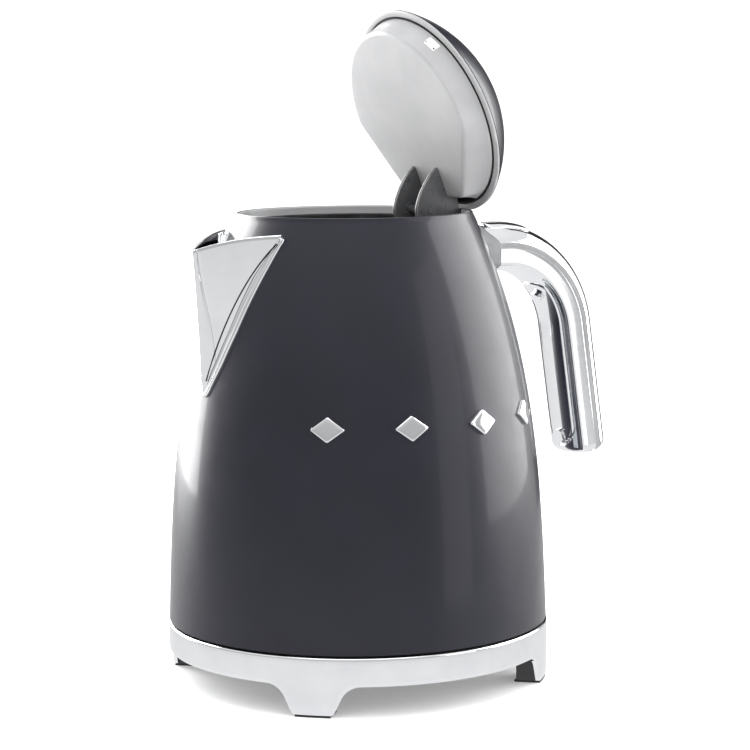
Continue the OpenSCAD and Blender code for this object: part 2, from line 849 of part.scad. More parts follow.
// Carries a section along the root, the bend and the grip
module along_handle(root_l, grip) {
    end_angle = 90 - bend_angle;
    translate([bend_x, 0, bend_z]) rotate([90, 0, 0]) {
        rotate([0, 0, end_angle]) rotate_extrude(angle = bend_angle)
            translate([bend_r, 0]) children();
        rotate([0, 0, end_angle]) translate([bend_r, 0, 0]) rotate([90, 0, 0])
            linear_extrude(grip) children();
        rotate([0, 0, 90]) translate([bend_r, 0, 0]) rotate([-90, 0, 0])
            linear_extrude(root_l) children();
    }
}

// Places children at the end of the grip, with their Z along it
module at_grip(l) {
    translate([bend_x, 0, bend_z]) rotate([90, 0, 0]) rotate([0, 0, 90 - bend_angle])
        translate([bend_r, 0, 0]) rotate([90, 0, 0]) translate([0, 0, l]) children();
}

// A short length of section across each end of the bend, which ties its three stretches together
module bend_ties() {
    tie = 2;
    at_grip(-tie) linear_extrude(2 * tie) children();
    translate([bend_x - tie, 0, handle_root_z]) rotate([0, 90, 0]) rotate([0, 0, 180])
        linear_extrude(2 * tie) children();
}

button_x0 = 67.5;
button_x1 = 92;
button_w = 13;
button_travel = 2.5;
stem_x = 79;

module handle_outer_shell() color(chrome) {
    difference() {
        union() {
            along_handle(bend_x - root_x0, grip_l) difference() {
                back_section(0);
                back_section(handle_wall);
            }
            bend_ties() difference() {
                back_section(0.5);
                back_section(handle_wall + 0.5);
            }
            at_grip(grip_l - handle_wall) linear_extrude(handle_wall) back_section(0);
        }
        slab(button_x0 - 0.3, button_x1 + 0.3, button_w + 0.6, handle_root_z - 2, 210);
    }
}

module handle_inner_shell() color(chrome) {
    difference() {
        union() {
            along_handle(bend_x - root_x0, grip_l) difference() {
                front_section(0);
                front_section(handle_wall);
            }
            bend_ties() difference() {
                front_section(0.5);
                front_section(handle_wall + 0.5);
            }
            at_grip(grip_l - handle_wall) linear_extrude(handle_wall) front_section(0);
        }
        plug_places() cylinder(r = 2.9, h = 8, center = true);
    }
}

module handle_gasket() color(grey) {
    difference() {
        along_handle(bend_x - root_x0, grip_l) difference() {
            seam_section(0);
            seam_section(2.2);
        }
        // clears the core's ears at the root
        slab(root_x0 - 1, bolt_end_x + 0.25, 22.9, 185, 200);
    }
    bend_ties() difference() {
        translate([0.3 - seam, 0.7 - half_w]) square([2 * seam - 0.6, handle_w - 1.4]);
        seam_section(2.6);
    }
    at_grip(grip_l - handle_wall) linear_extrude(handle_wall) seam_section(0);
}

module handle_core() color(dark) {
    difference() {
        union() {
            along_handle(bend_x - root_x0 - 0.1, grip_l - 3) translate([-6, -9]) square([9, 18]);
            bend_ties() translate([-5, -8]) square([7, 16]);
            // ears that the bolts thread into
            for (s = [0, 1]) mirror([0, s, 0]) translate([bolt_end_x + 0.2, 0, handle_root_z])
                rotate([0, -90, 0]) linear_extrude(bolt_end_x - root_x0)
                    polygon([[-6, 8], [-6, 11.35], [1, 11.35], [2.5, 10.3], [2.9, 8]]);
        }
        for (y = [-bolt_y, bolt_y]) rod_x(60, bolt_end_x + 0.2, handle_root_z, bolt_r + 0.05, y);
        rod_x(60, 76.5, rod_z, 1.9);
        translate([stem_x, 0, 180]) cylinder(r = 1.9, h = 25);
        translate([stem_x, 0, 189]) cylinder(r = 3.5, h = 12);
        plug_places() cylinder(r = 1.5, h = 12, center = true);
    }
}

// Full outline of the handle where it meets its bracket
module root_section() {
    intersection() {
        union() {
            intersection() {
                translate([back_c, 0]) circle(r = back_arc_r - 0.3);
                translate([0, -half_w]) square([back_h, 2 * half_w]);
            }
            intersection() {
                translate([front_arc_r - front_h, 0]) circle(r = front_arc_r - 0.3);
                translate([-front_h, -half_w]) square([front_h + 0.5, 2 * half_w]);
            }
        }
        translate([-20, 0.2 - half_w]) square([40, 2 * half_w - 0.4]);
    }
}

module handle_bracket() color(grey) {
    difference() {
        translate([root_x0 - 0.05, 0, handle_root_z]) rotate([0, -90, 0])
            linear_extrude(16) root_section();
        body_solid(0.03);
        for (y = [-bolt_y, bolt_y]) rod_x(45, bolt_end_x + e, handle_root_z, bolt_r + 0.1, y);
        rod_x(45, 76.5, rod_z, 2.1);
    }
}

module handle_bolts() color(satin) {
    for (y = [-bolt_y, bolt_y]) {
        rod_x(bolt_head_x - 1, bolt_end_x, handle_root_z, bolt_r, y);
        rod_x(bolt_head_x - 2.1, bolt_head_x - gap, handle_root_z, 2.4, y);
    }
}

// The two plugs on the crest that faces the body
plug_bend_angle = 36;
plug_grip_l = 54;
module plug_places() {
    translate([bend_x, 0, bend_z]) rotate([90, 0, 0]) rotate([0, 0, plug_bend_angle])
        translate([bend_r - front_h + 1, 0, 0]) rotate([0, 90, 0]) children();
    at_grip(plug_grip_l) translate([1 - front_h, 0, 0]) rotate([0, 90, 0]) children();
}

module handle_plugs() color(satin) {
    plug_places() translate([0, 0, -1.3]) cylinder(r = 2.8, h = 3);
}

module release_button() color(chrome) {
    intersection() {
        along_handle(bend_x - root_x0, 5) difference() {
            back_section(0);
            back_section(handle_wall);
        }
        slab(button_x0, button_x1, button_w, handle_root_z, 210);
    }
    slab(button_x0 + 2, button_x1 - 8, 4, 198.4, 200.3);
    translate([stem_x, 0, 188.6]) cylinder(r = 1.6, h = 11);
}

module button_spring() color(satin) {
    translate([stem_x, 0, 189.2]) coil_sleeve(2.6, 0.45, 11);
}

base_ring();
foot_pads();
base_top_plate();
base_bottom_cover();
connector_post();
contact_rings();
connector_pin();
cord_gland();
base_screws();
terminal_block();
connector_guide_ring();
body_shell();
top_collar();
mouth_seal();
spout();
side_studs();
element_plate();
plate_seal();
heating_element();
lower_frame();
control_unit();
control_contacts();
bottom_cover();
bottom_screws();
steam_tube();
switch_housing();
lever_bezel();
water_window();
window_gasket();
filter_rails();
hinge_bracket();
hinge_pin();
hinge_spring();
latch_pivot();
latch_spring();
handle_bracket();
handle_core();
handle_outer_shell();
handle_inner_shell();
handle_gasket();
handle_bolts();
handle_plugs();
button_spring();
lid_dome();
lid_ring();
lid_gasket();
lid_inner_cover();
lid_frame();
lid_arms();
lid_catch_pin();
lid_clips();
release_button();
release_rod();
latch_hook();
switch_lever();
lever_knob();
filter_frame();
filter_mesh();
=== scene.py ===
"""Looks of the electric kettle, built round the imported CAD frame.

Shapes are worked out in millimetres in the row frame and turned into metres when a mesh is made.
"""

from math import acos, asin, atan2, cos, degrees, exp, hypot, log, pi, radians, sin, sqrt, tan

import bmesh
import bpy
from mathutils import Matrix, Vector


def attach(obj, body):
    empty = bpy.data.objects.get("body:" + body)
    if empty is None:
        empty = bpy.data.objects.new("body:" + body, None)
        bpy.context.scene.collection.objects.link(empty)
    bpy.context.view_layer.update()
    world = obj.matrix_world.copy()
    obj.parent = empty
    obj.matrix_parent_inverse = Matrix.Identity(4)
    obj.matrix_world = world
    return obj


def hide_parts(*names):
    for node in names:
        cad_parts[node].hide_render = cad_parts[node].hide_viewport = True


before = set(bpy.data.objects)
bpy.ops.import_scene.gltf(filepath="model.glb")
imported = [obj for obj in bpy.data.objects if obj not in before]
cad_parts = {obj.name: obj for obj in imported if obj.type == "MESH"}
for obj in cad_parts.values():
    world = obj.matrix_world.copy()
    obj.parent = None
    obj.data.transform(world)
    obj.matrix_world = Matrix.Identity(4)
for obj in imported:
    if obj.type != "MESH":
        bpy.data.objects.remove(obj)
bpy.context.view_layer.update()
MM = 0.001

# ---- Driving sizes, in millimetres, as in the CAD part -------------------------
BODY_R = 85.7
BODY_Z0 = 27.0
RIM_Z = 210.0
TAPER_EVEN = 6.3
TAPER_SHOULDER = 26.8
RING_R = 86.0
RING_IN_R = 84.0
RING_TOP = 26.0
RING_LOW = 13.5
FOOT_W = 19.6
FOOT_ROOT_W = 42.3
FOOT_FILLET = 9.5
PAD_T = 0.8
LID_R = 49.1
LID_PLANE = 211.0
LID_OPEN = radians(67.4)
LID_X = -1.0
DOME_H = 27.0
PIVOT = (51.0, 202.2)
COVER_DEPTH = 11.0
COVER_R = 43.0
COVER_TOP_R = 45.1
COVER_WALL = 1.2
COVER_BACK, COVER_SIDE, COVER_DROP = 37, 44, 22
ARM_IN_Y, ARM_OUT_Y = 8.0, 10.5
BEND_R = 44.5
BEND_X = 74.8
BEND_ANGLE = radians(81.7)
GRIP_L = 62.0
ROOT_Z = 192.0
BEND_Z = ROOT_Z - BEND_R
HALF_W = 13.0
SEAM = 1.2
BACK_H = 9.5
FRONT_H = 12.2
FRONT_EDGE = 9.0
END_CORNER, END_BULGE, END_SQUEEZE = 3.2, 1.1, 0.45
SHELL_T = 1.4
BACK_C = (BACK_H**2 - SEAM**2 - HALF_W**2) / (2 * (BACK_H - SEAM))
BACK_ARC = BACK_H - BACK_C
FRONT_SAG = FRONT_H - FRONT_EDGE
FRONT_ARC = (HALF_W**2 + FRONT_SAG**2) / (2 * FRONT_SAG)
SPOUT_TIP = (-82.4, 196.0)
SPOUT_LEAN = radians(4.18)
SPOUT_HALF = radians(39.5)
SPOUT_NOSE_R = 2.5
SPOUT_WALL = 1.2
LIP_SLOPE = radians(8.7)
CREASE_SPREAD, CREASE_RUN = 4.2, 46
FLANGE_EDGE = [
    (0.0, 131.8), (2.2, 132.4), (9.6, 146), (14.8, 159.9), (18.9, 175), (22.4, 188), (25.6, 201.8)
]
BUTTON_X0, BUTTON_X1, BUTTON_W = 67.5, 92.0, 13.0
STUD_Z, STUD_MIDDLE, STUD_PITCH = 122.5, 91.5, 26.0
CAMERA_BEARING, CAMERA_PITCH, CAMERA_ROLL = -32.1, 7.02, -0.41
CAMERA_LENS = 116.976


def shell_r(z):
    """Radius of the body's outer surface at a height."""
    t = (z - BODY_Z0) / (RIM_Z - BODY_Z0)
    return BODY_R - TAPER_EVEN * t - TAPER_SHOULDER * t**3


def spread(a, b, n):
    """n + 1 even values from a to b."""
    return [a + (b - a) * i / n for i in range(n + 1)]


def arc(cx, cy, r, a0, a1, n):
    """Points along an arc, with angles in degrees."""
    return [(cx + r * cos(radians(a)), cy + r * sin(radians(a))) for a in spread(a0, a1, n)]


def smooth(t):
    """An S-curve from 0 to 1."""
    t = min(1.0, max(0.0, t))
    return t * t * (3 - 2 * t)


# ---- Material nodes ------------------------------------------------------------
class Shader:
    """A node material with the few helpers that every finish here needs."""

    def __init__(self, name, **sockets):
        self.mat = bpy.data.materials.new(name)
        self.mat.use_nodes = True
        self.nodes = self.mat.node_tree.nodes
        self.links = self.mat.node_tree.links
        self.bsdf = self.nodes["Principled BSDF"]
        for key, value in sockets.items():
            self.bsdf.inputs[key.replace("_", " ")].default_value = value
        self.coords = self.add("ShaderNodeTexCoord").outputs["Object"]
        self.height = None

    def add(self, kind, **props):
        node = self.nodes.new(kind)
        for key, value in props.items():
            setattr(node, key, value)
        return node

    def link(self, a, b):
        self.links.new(a, b)

    def stretch(self, scale):
        """Object coordinates scaled along each axis."""
        node = self.add("ShaderNodeMapping")
        node.inputs["Scale"].default_value = scale
        self.link(self.coords, node.inputs["Vector"])
        return node.outputs["Vector"]

    def noise(self, scale, detail=4.0, rough=0.55, vector=None):
        node = self.add("ShaderNodeTexNoise")
        node.inputs["Scale"].default_value = scale
        node.inputs["Detail"].default_value = detail
        node.inputs["Roughness"].default_value = rough
        self.link(vector or self.coords, node.inputs["Vector"])
        return node.outputs["Fac"]

    def cells(self, scale, feature="F1", vector=None):
        node = self.add("ShaderNodeTexVoronoi", feature=feature)
        node.inputs["Scale"].default_value = scale
        self.link(vector or self.coords, node.inputs["Vector"])
        return node.outputs["Distance"]

    def ramp(self, fac, low, high, start=0.35, end=0.65):
        """Maps a factor to colours or greys between two stops."""
        node = self.add("ShaderNodeValToRGB")
        stops = node.color_ramp.elements
        stops[0].position, stops[1].position = start, end
        stops[0].color, stops[1].color = [self.rgba(c) for c in (low, high)]
        self.link(fac, node.inputs["Fac"])
        return node.outputs["Color"]

    @staticmethod
    def rgba(c):
        return (c, c, c, 1) if isinstance(c, (int, float)) else (*c, 1)

    def mix(self, fac, a, b):
        node = self.add("ShaderNodeMix", data_type="RGBA")
        for sock, value in ((node.inputs[0], fac), (node.inputs[6], a), (node.inputs[7], b)):
            if hasattr(value, "links"):
                self.link(value, sock)
            elif sock.type == "VALUE":
                sock.default_value = value
            else:
                sock.default_value = self.rgba(value)
        return node.outputs[2]

    def math(self, op, a, b=0.0):
        node = self.add("ShaderNodeMath", operation=op)
        for sock, value in ((node.inputs[0], a), (node.inputs[1], b)):
            if hasattr(value, "links"):
                self.link(value, sock)
            else:
                sock.default_value = value
        return node.outputs[0]

    def edges(self):
        """1 on sharp outer edges, 0 elsewhere."""
        geometry = self.add("ShaderNodeNewGeometry")
        return self.ramp(geometry.outputs["Pointiness"], 0.0, 1.0, 0.52, 0.60)

    def color(self, value):
        self.link(value, self.bsdf.inputs["Base Color"])

    def roughness(self, value):
        self.link(value, self.bsdf.inputs["Roughness"])

    def bump(self, height, distance, strength=1.0):
        node = self.add("ShaderNodeBump")
        node.inputs["Distance"].default_value = distance
        node.inputs["Strength"].default_value = strength
        self.link(height, node.inputs["Height"])
        if self.height is not None:
            self.link(self.height, node.inputs["Normal"])
        self.height = node.outputs["Normal"]
        self.link(self.height, self.bsdf.inputs["Normal"])
        return self


def painted_metal():
    """Slate enamel with a faint orange peel and fine flake."""
    s = Shader("slate_enamel", Coat_Weight=0.3, Coat_Roughness=0.07, Coat_IOR=1.4, IOR=1.45)
    mottle = s.noise(34, 3)
    flake = s.cells(2600)
    base = s.ramp(mottle, (0.0056, 0.0052, 0.0140), (0.0074, 0.0070, 0.0172))
    fleck = s.ramp(flake, (0.030, 0.029, 0.038), (0.006, 0.006, 0.009), 0.05, 0.22)
    s.color(s.mix(0.18, base, fleck))
    s.roughness(s.ramp(s.noise(90, 2), 0.30, 0.36))
    s.bump(s.noise(520, 2, 0.4), 0.00003, 0.5)
    return s.mat


def chrome():
    """Polished chrome plate with a slight haze, fine wipe marks and dust of wear."""
    s = Shader("chrome_plate", Metallic=1.0)
    haze = s.noise(60, 3)
    s.color(s.ramp(haze, (0.84, 0.845, 0.86), (0.89, 0.895, 0.905)))
    marks = s.noise(22, 6, 0.7, s.stretch((1, 1, 9)))
    s.roughness(s.ramp(marks, 0.045, 0.085, 0.3, 0.8))
    s.bump(s.noise(300, 2), 0.00001, 0.4)
    return s.mat


def satin_steel():
    """Brushed stainless steel, brushed round the axis."""
    s = Shader("satin_steel", Metallic=1.0)
    grain = s.noise(260, 4, 0.6, s.stretch((1, 1, 0.06)))
    s.color(s.ramp(grain, (0.56, 0.565, 0.57), (0.66, 0.665, 0.67)))
    s.roughness(s.ramp(grain, 0.24, 0.36))
    s.bump(grain, 0.00002, 0.5)
    return s.mat


def moulded(name, low, high, rough=(0.36, 0.46), grain=900, depth=0.00003, **sockets):
    """Moulded plastic: a fine spark-eroded grain, a slight flow mottle and a paler tone on sharp edges."""
    s = Shader(name, **sockets)
    mottle = s.ramp(s.noise(45, 3), low, high)
    s.color(s.mix(s.edges(), mottle, tuple(min(1, c * 1.25 + 0.01) for c in high)))
    s.roughness(s.ramp(s.noise(grain / 3, 3), *rough))
    s.bump(s.cells(grain), depth, 0.6)
    return s.mat


def rubber():
    s = Shader("black_rubber", Specular_IOR_Level=0.3)
    s.color(s.ramp(s.noise(120, 5), (0.012, 0.012, 0.013), (0.03, 0.03, 0.032)))
    s.roughness(s.ramp(s.noise(400, 2), 0.62, 0.8))
    s.bump(s.noise(1400, 3), 0.00008, 0.7)
    return s.mat


def brass():
    s = Shader("contact_brass", Metallic=1.0)
    tarnish = s.noise(150, 5)
    s.color(s.ramp(tarnish, (0.66, 0.45, 0.18), (0.87, 0.66, 0.33)))
    s.roughness(s.ramp(tarnish, 0.38, 0.2))
    s.bump(s.noise(900, 3), 0.00002, 0.5)
    return s.mat


def window_plastic():
    """Smoky clear plastic of the water gauge."""
    s = Shader("gauge_clear", Transmission_Weight=0.75, IOR=1.49)
    s.color(s.ramp(s.noise(30, 2), (0.62, 0.66, 0.70), (0.70, 0.74, 0.78)))
    s.roughness(s.ramp(s.noise(200, 2), 0.06, 0.12))
    s.bump(s.noise(240, 2), 0.00002, 0.4)
    return s.mat


def mesh_screen():
    """Woven filter gauze: crossed wires as relief and shade."""
    s = Shader("filter_gauze", Metallic=0.9)
    waves = []
    for direction in ("Y", "Z"):
        wave = s.add("ShaderNodeTexWave", bands_direction=direction, wave_profile="SIN")
        wave.inputs["Scale"].default_value = 420
        s.link(s.coords, wave.inputs["Vector"])
        waves.append(wave.outputs["Fac"])
    weave = s.math("MAXIMUM", *waves)
    s.color(s.ramp(weave, (0.05, 0.05, 0.05), (0.62, 0.62, 0.6), 0.3, 0.8))
    s.roughness(s.ramp(weave, 0.6, 0.3))
    s.bump(weave, 0.0002, 0.8)
    return s.mat


def floor_material():
    """Pale matt paper with a little light of its own, to keep it white."""
    white = (1, 1, 1, 1)
    s = Shader("pale_floor", Specular_IOR_Level=0.1, Emission_Color=white, Emission_Strength=0.22)
    s.color(s.ramp(s.noise(6, 2), 0.86, 0.88))
    s.roughness(s.ramp(s.noise(9, 2), 0.75, 0.85))
    return s.mat


MAT = {
    "paint": painted_metal(),
    "chrome": chrome(),
    "steel": satin_steel(),
    "satin_plastic": moulded("satin_plastic", (0.33, 0.33, 0.335), (0.37, 0.37, 0.375), (0.28, 0.36)),
    "grey": moulded("grey_plastic", (0.20, 0.203, 0.207), (0.25, 0.253, 0.257)),
    "dark": moulded("dark_plastic", (0.012, 0.012, 0.013), (0.022, 0.022, 0.024), (0.34, 0.48)),
    "arm": moulded("arm_plastic", (0.062, 0.063, 0.065), (0.082, 0.083, 0.086), (0.26, 0.34), depth=0.00001),
    "white": moulded("white_plastic", (0.74, 0.74, 0.72), (0.82, 0.82, 0.80)),
    "rubber": rubber(),
    "brass": brass(),
    "window": window_plastic(),
    "gauze": mesh_screen(),
}


# ---- Mesh helpers --------------------------------------------------------------
def add_object(name, data):
    """Puts a new object into the scene."""
    obj = bpy.data.objects.new(name, data)
    bpy.context.scene.collection.objects.link(obj)
    return obj


def make_mesh(name, verts, faces, unit=MM, merge=False, outward=True):
    """A mesh in metres; doubled points can be merged and the faces of a closed one turned outwards."""
    mesh = bpy.data.meshes.new(name)
    mesh.from_pydata([tuple(c * unit for c in v) for v in verts], [], faces)
    bm = bmesh.new()
    bm.from_mesh(mesh)
    if merge:
        bmesh.ops.remove_doubles(bm, verts=bm.verts, dist=1e-6)
        bmesh.ops.dissolve_degenerate(bm, edges=bm.edges, dist=1e-7)
    if outward:
        bmesh.ops.recalc_face_normals(bm, faces=bm.faces)
    bm.to_mesh(mesh)
    bm.free()
    return mesh


def mesh_piece(name, verts, faces, body, look, replaces=(), sharp=32):
    """Makes a closed piece, rides it on a body and gives it its finish."""
    mesh = make_mesh(name, verts, faces, merge=True)
    obj = add_object(name, mesh)
    for face in mesh.polygons:
        face.use_smooth = True
    mesh.set_sharp_from_angle(angle=radians(sharp))
    mesh.materials.append(MAT[look])
    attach(obj, body)
    if replaces:
        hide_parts(*replaces)
    return obj


def grid_faces(rows, cols, close_cols=False, close_rows=False):
    """Quads over rows of points that are stored row by row."""
    faces = []
    for i in range(rows if close_rows else rows - 1):
        for j in range(cols if close_cols else cols - 1):
            a, b = i * cols, ((i + 1) % rows) * cols
            k = (j + 1) % cols
            faces.append((a + j, a + k, b + k, b + j))
    return faces


def add_stack(verts, faces, rings, tip=None):
    """Adds a stack of equal rings, closed by a flat face below and by one or by a tip above."""
    start, n = len(verts), len(rings[0])
    last = start + (len(rings) - 1) * n
    verts += [p for ring in rings for p in ring]
    faces += [tuple(start + k for k in f) for f in grid_faces(len(rings), n, close_cols=True)]
    faces.append(tuple(start + k for k in reversed(range(n))))
    if tip is None:
        faces.append(tuple(last + k for k in range(n)))
    else:
        verts.append(tip)
        faces += [(last + k, last + (k + 1) % n, len(verts) - 1) for k in range(n)]


def revolve(profile, segments=192, closed=True, centre_x=0.0):
    """Turns (radius, height) points round Z. A closed profile gives a ring, an open one ends on the axis."""
    verts = []
    for i in range(segments):
        a = 2 * pi * i / segments
        verts += [(centre_x + r * cos(a), r * sin(a), z) for r, z in profile]
    faces = []
    n = len(profile)
    for i in range(segments):
        a, b = i * n, ((i + 1) % segments) * n
        for j in range(n if closed else n - 1):
            k = (j + 1) % n
            faces.append((a + j, b + j, b + k, a + k))
    return verts, faces


def sheet_solid(outer, inner, rows, cols):
    """Closes two grids of points into one solid shell with edge strips."""
    n = rows * cols
    faces = grid_faces(rows, cols)
    faces += [tuple(n + k for k in reversed(f)) for f in grid_faces(rows, cols)]
    rim = [j for j in range(cols)]
    rim += [i * cols + cols - 1 for i in range(1, rows)]
    rim += [(rows - 1) * cols + j for j in range(cols - 2, -1, -1)]
    rim += [i * cols for i in range(rows - 2, 0, -1)]
    for a, b in zip(rim, rim[1:] + rim[:1]):
        faces.append((b, a, n + a, n + b))
    return list(outer) + list(inner), faces


def cut(target, cutter):
    """Takes a closed cutter out of a piece and removes the cutter."""
    mod = target.modifiers.new("cut", "BOOLEAN")
    mod.operation = "DIFFERENCE"
    mod.solver = "EXACT"
    mod.object = cutter
    bpy.context.view_layer.update()
    graph = bpy.context.evaluated_depsgraph_get()
    mesh = bpy.data.meshes.new_from_object(target.evaluated_get(graph))
    target.modifiers.clear()
    target.data = mesh
    bpy.data.objects.remove(cutter)


def cutter_prism(outline, place):
    """A closed prism whose outline points (u, v) are placed at depth 0 and 1 by place(u, v, depth)."""
    n = len(outline)
    verts = [place(u, v, d) for d in (0, 1) for u, v in outline]
    faces = [tuple(range(n)), tuple(range(2 * n - 1, n - 1, -1))]
    faces += [(i, (i + 1) % n, n + (i + 1) % n, n + i) for i in range(n)]
    return add_object("cutter", make_mesh("cutter", verts, faces))


def rounded_rect(x0, y0, x1, y1, r, n=6):
    """Outline of a rectangle with round corners."""
    corners = [(x1 - r, y1 - r, 0), (x0 + r, y1 - r, 90), (x0 + r, y0 + r, 180), (x1 - r, y0 + r, 270)]
    return [p for cx, cy, a in corners for p in arc(cx, cy, r, a, a + 90, n)]


def open_lid(p):
    """Moves a point of the shut lid to its place on the open lid."""
    x, y, z = p[0] - PIVOT[0], p[1], p[2] - PIVOT[1]
    c, s = cos(LID_OPEN), sin(LID_OPEN)
    return (PIVOT[0] + x * c + z * s, y, PIVOT[1] - x * s + z * c)


# ---- Body ----------------------------------------------------------------------
def spout_outline(inset, side):
    """Plan of the spout's wedge with its round nose, inset from the outer faces."""
    r = SPOUT_NOSE_R - inset
    h = degrees(SPOUT_HALF)
    nose = arc(SPOUT_NOSE_R, 0, r, 90 + h, 270 - h, 12)
    low = (nose[-1][0] + side * cos(SPOUT_HALF), nose[-1][1] - side * sin(SPOUT_HALF))
    high = (nose[0][0] + side * cos(SPOUT_HALF), nose[0][1] + side * sin(SPOUT_HALF))
    return nose + [low, high]


def along_spout(u, v, height):
    """A point of the spout's own frame in the row frame: u backwards from the ridge, height along it."""
    c, s = cos(SPOUT_LEAN), sin(SPOUT_LEAN)
    return (SPOUT_TIP[0] + u * c - height * s, v, SPOUT_TIP[1] + u * s + height * c)


def painted_body():
    """The painted shell with its rolled rim, open for the spout, the gauge, the lever and the steam tube."""
    wall, roll = 1.0, 0.8
    outer = [(shell_r(z), z) for z in spread(BODY_Z0, RIM_Z - roll, 90)]
    rim_r = shell_r(RIM_Z - roll)
    middle = rim_r - wall / 2 - 0.05
    rim = arc(middle, RIM_Z - roll + 0.15, 0.55, 20, 160, 8)
    inner = [(shell_r(z) - wall, z) for z in spread(RIM_Z - roll, BODY_Z0, 60)]
    verts, faces = revolve(outer + rim + inner, 224)
    body = mesh_piece("painted_body", verts, faces, "kettle", "paint", ["body_shell"], 30)
    wedge = spout_outline(SPOUT_WALL + 0.15, 60)
    cut(body, cutter_prism(wedge, lambda u, v, d: along_spout(u, v, -46 + 46.4 * d)))
    slots = [
        rounded_rect(-5.15, 73.85, 5.15, 150.15, 1.2),
        rounded_rect(-4, 31, 4, 43, 1.5),
        arc(0, 186, 2.1, 0, 345, 23),
    ]
    for outline in slots:
        cut(body, cutter_prism(outline, lambda u, v, d: (48 + 50 * d, u, v)))
    body.data.set_sharp_from_angle(angle=radians(30))


def top_rings():
    """The light collar and the dark seal inside the mouth, notched for the hinge."""
    notch = rounded_rect(-13.5, 195, 13.5, 214, 1.5)
    wall_top = shell_r(209) - 1.05
    collar = [(50.2, 201.0)] + [(shell_r(z) - 1.05, z) for z in spread(201, 209, 8)]
    collar += arc(wall_top - 0.8, 209.0, 0.8, 0, 90, 4) + arc(51.0, 209.0, 0.8, 90, 180, 4)
    verts, faces = revolve(collar, 192)
    piece = mesh_piece("mouth_collar", verts, faces, "kettle", "satin_plastic", ["top_collar"])
    cut(piece, cutter_prism(notch, lambda u, v, d: (20 + 40 * d, u, v)))
    low = shell_r(200.9) - 1.2
    seal = [(46.5, 198), (low, 198), (low, 200.9), (50.15, 200.9), (50.15, 205.7)]
    seal += [(49.6, 206.3), (48.6, 206.2), (48.1, 205.3), (47.6, 206.0), (46.9, 206.2), (46.5, 205.8)]
    verts, faces = revolve(seal, 192)
    piece = mesh_piece("mouth_lip_seal", verts, faces, "kettle", "rubber", ["mouth_seal"])
    cut(piece, cutter_prism(notch, lambda u, v, d: (20 + 40 * d, u, v)))


def side_lozenges():
    """Plain raised lozenges with bevelled edges that follow the body."""
    proudest = 1.7
    steps = [(1.0, -0.25), (1.0, 1.05), (0.975, 1.4), (0.93, 1.6), (0.86, 1.68), (0.5, proudest)]
    half_w, half_h = 7.6, 5.6
    corners = [(half_w, 0), (0, half_h), (-half_w, 0), (0, -half_h)]
    outline = []
    for (x0, y0), (x1, y1) in zip(corners, corners[1:] + corners[:1]):
        outline += [(x0 + (x1 - x0) * t, y0 + (y1 - y0) * t) for t in spread(0.05, 0.95, 8)]

    def on_body(middle, x, rise, proud):
        """A point of one stud, at an arc distance and a rise from its middle."""
        z = STUD_Z + rise
        a = middle + x / shell_r(STUD_Z)
        r = shell_r(z) + proud
        return (r * cos(a), r * sin(a), z)

    verts, faces = [], []
    for side in (-1, 1):
        for i in (-1.5, -0.5, 0.5, 1.5):
            middle = radians(side * STUD_MIDDLE + i * STUD_PITCH)
            rings = [[on_body(middle, x * k, z * k, proud) for x, z in outline] for k, proud in steps]
            add_stack(verts, faces, rings, on_body(middle, 0.0, 0.0, proudest))
    mesh_piece("side_lozenges", verts, faces, "kettle", "chrome", ["side_studs"], 40)


# ---- Base ring -----------------------------------------------------------------
def ring_low_edge():
    """Lower edge of one foot's half, from its middle outwards, as (tangent distance, height)."""
    half, chamfer = FOOT_W / 2, 1.6
    cx, cz = FOOT_ROOT_W / 2, RING_LOW - FOOT_FILLET
    side = (cx - 0.899 * FOOT_FILLET, RING_LOW - 0.562 * FOOT_FILLET)
    start = degrees(atan2(side[1] - cz, side[0] - cx)) % 360
    points = [(t, PAD_T) for t in spread(0, half - chamfer - 0.6, 6)]
    points += [(half - chamfer + 0.1, PAD_T + 0.12), (half - 0.55, PAD_T + 0.65), (half - 0.1, PAD_T + 1.5)]
    base = PAD_T + chamfer
    points += [(half + (side[0] - half) * k, base + (side[1] - PAD_T - chamfer) * k) for k in (0.1, 0.4, 0.7)]
    points += arc(cx, cz, FOOT_FILLET, start, 90, 18)
    return points


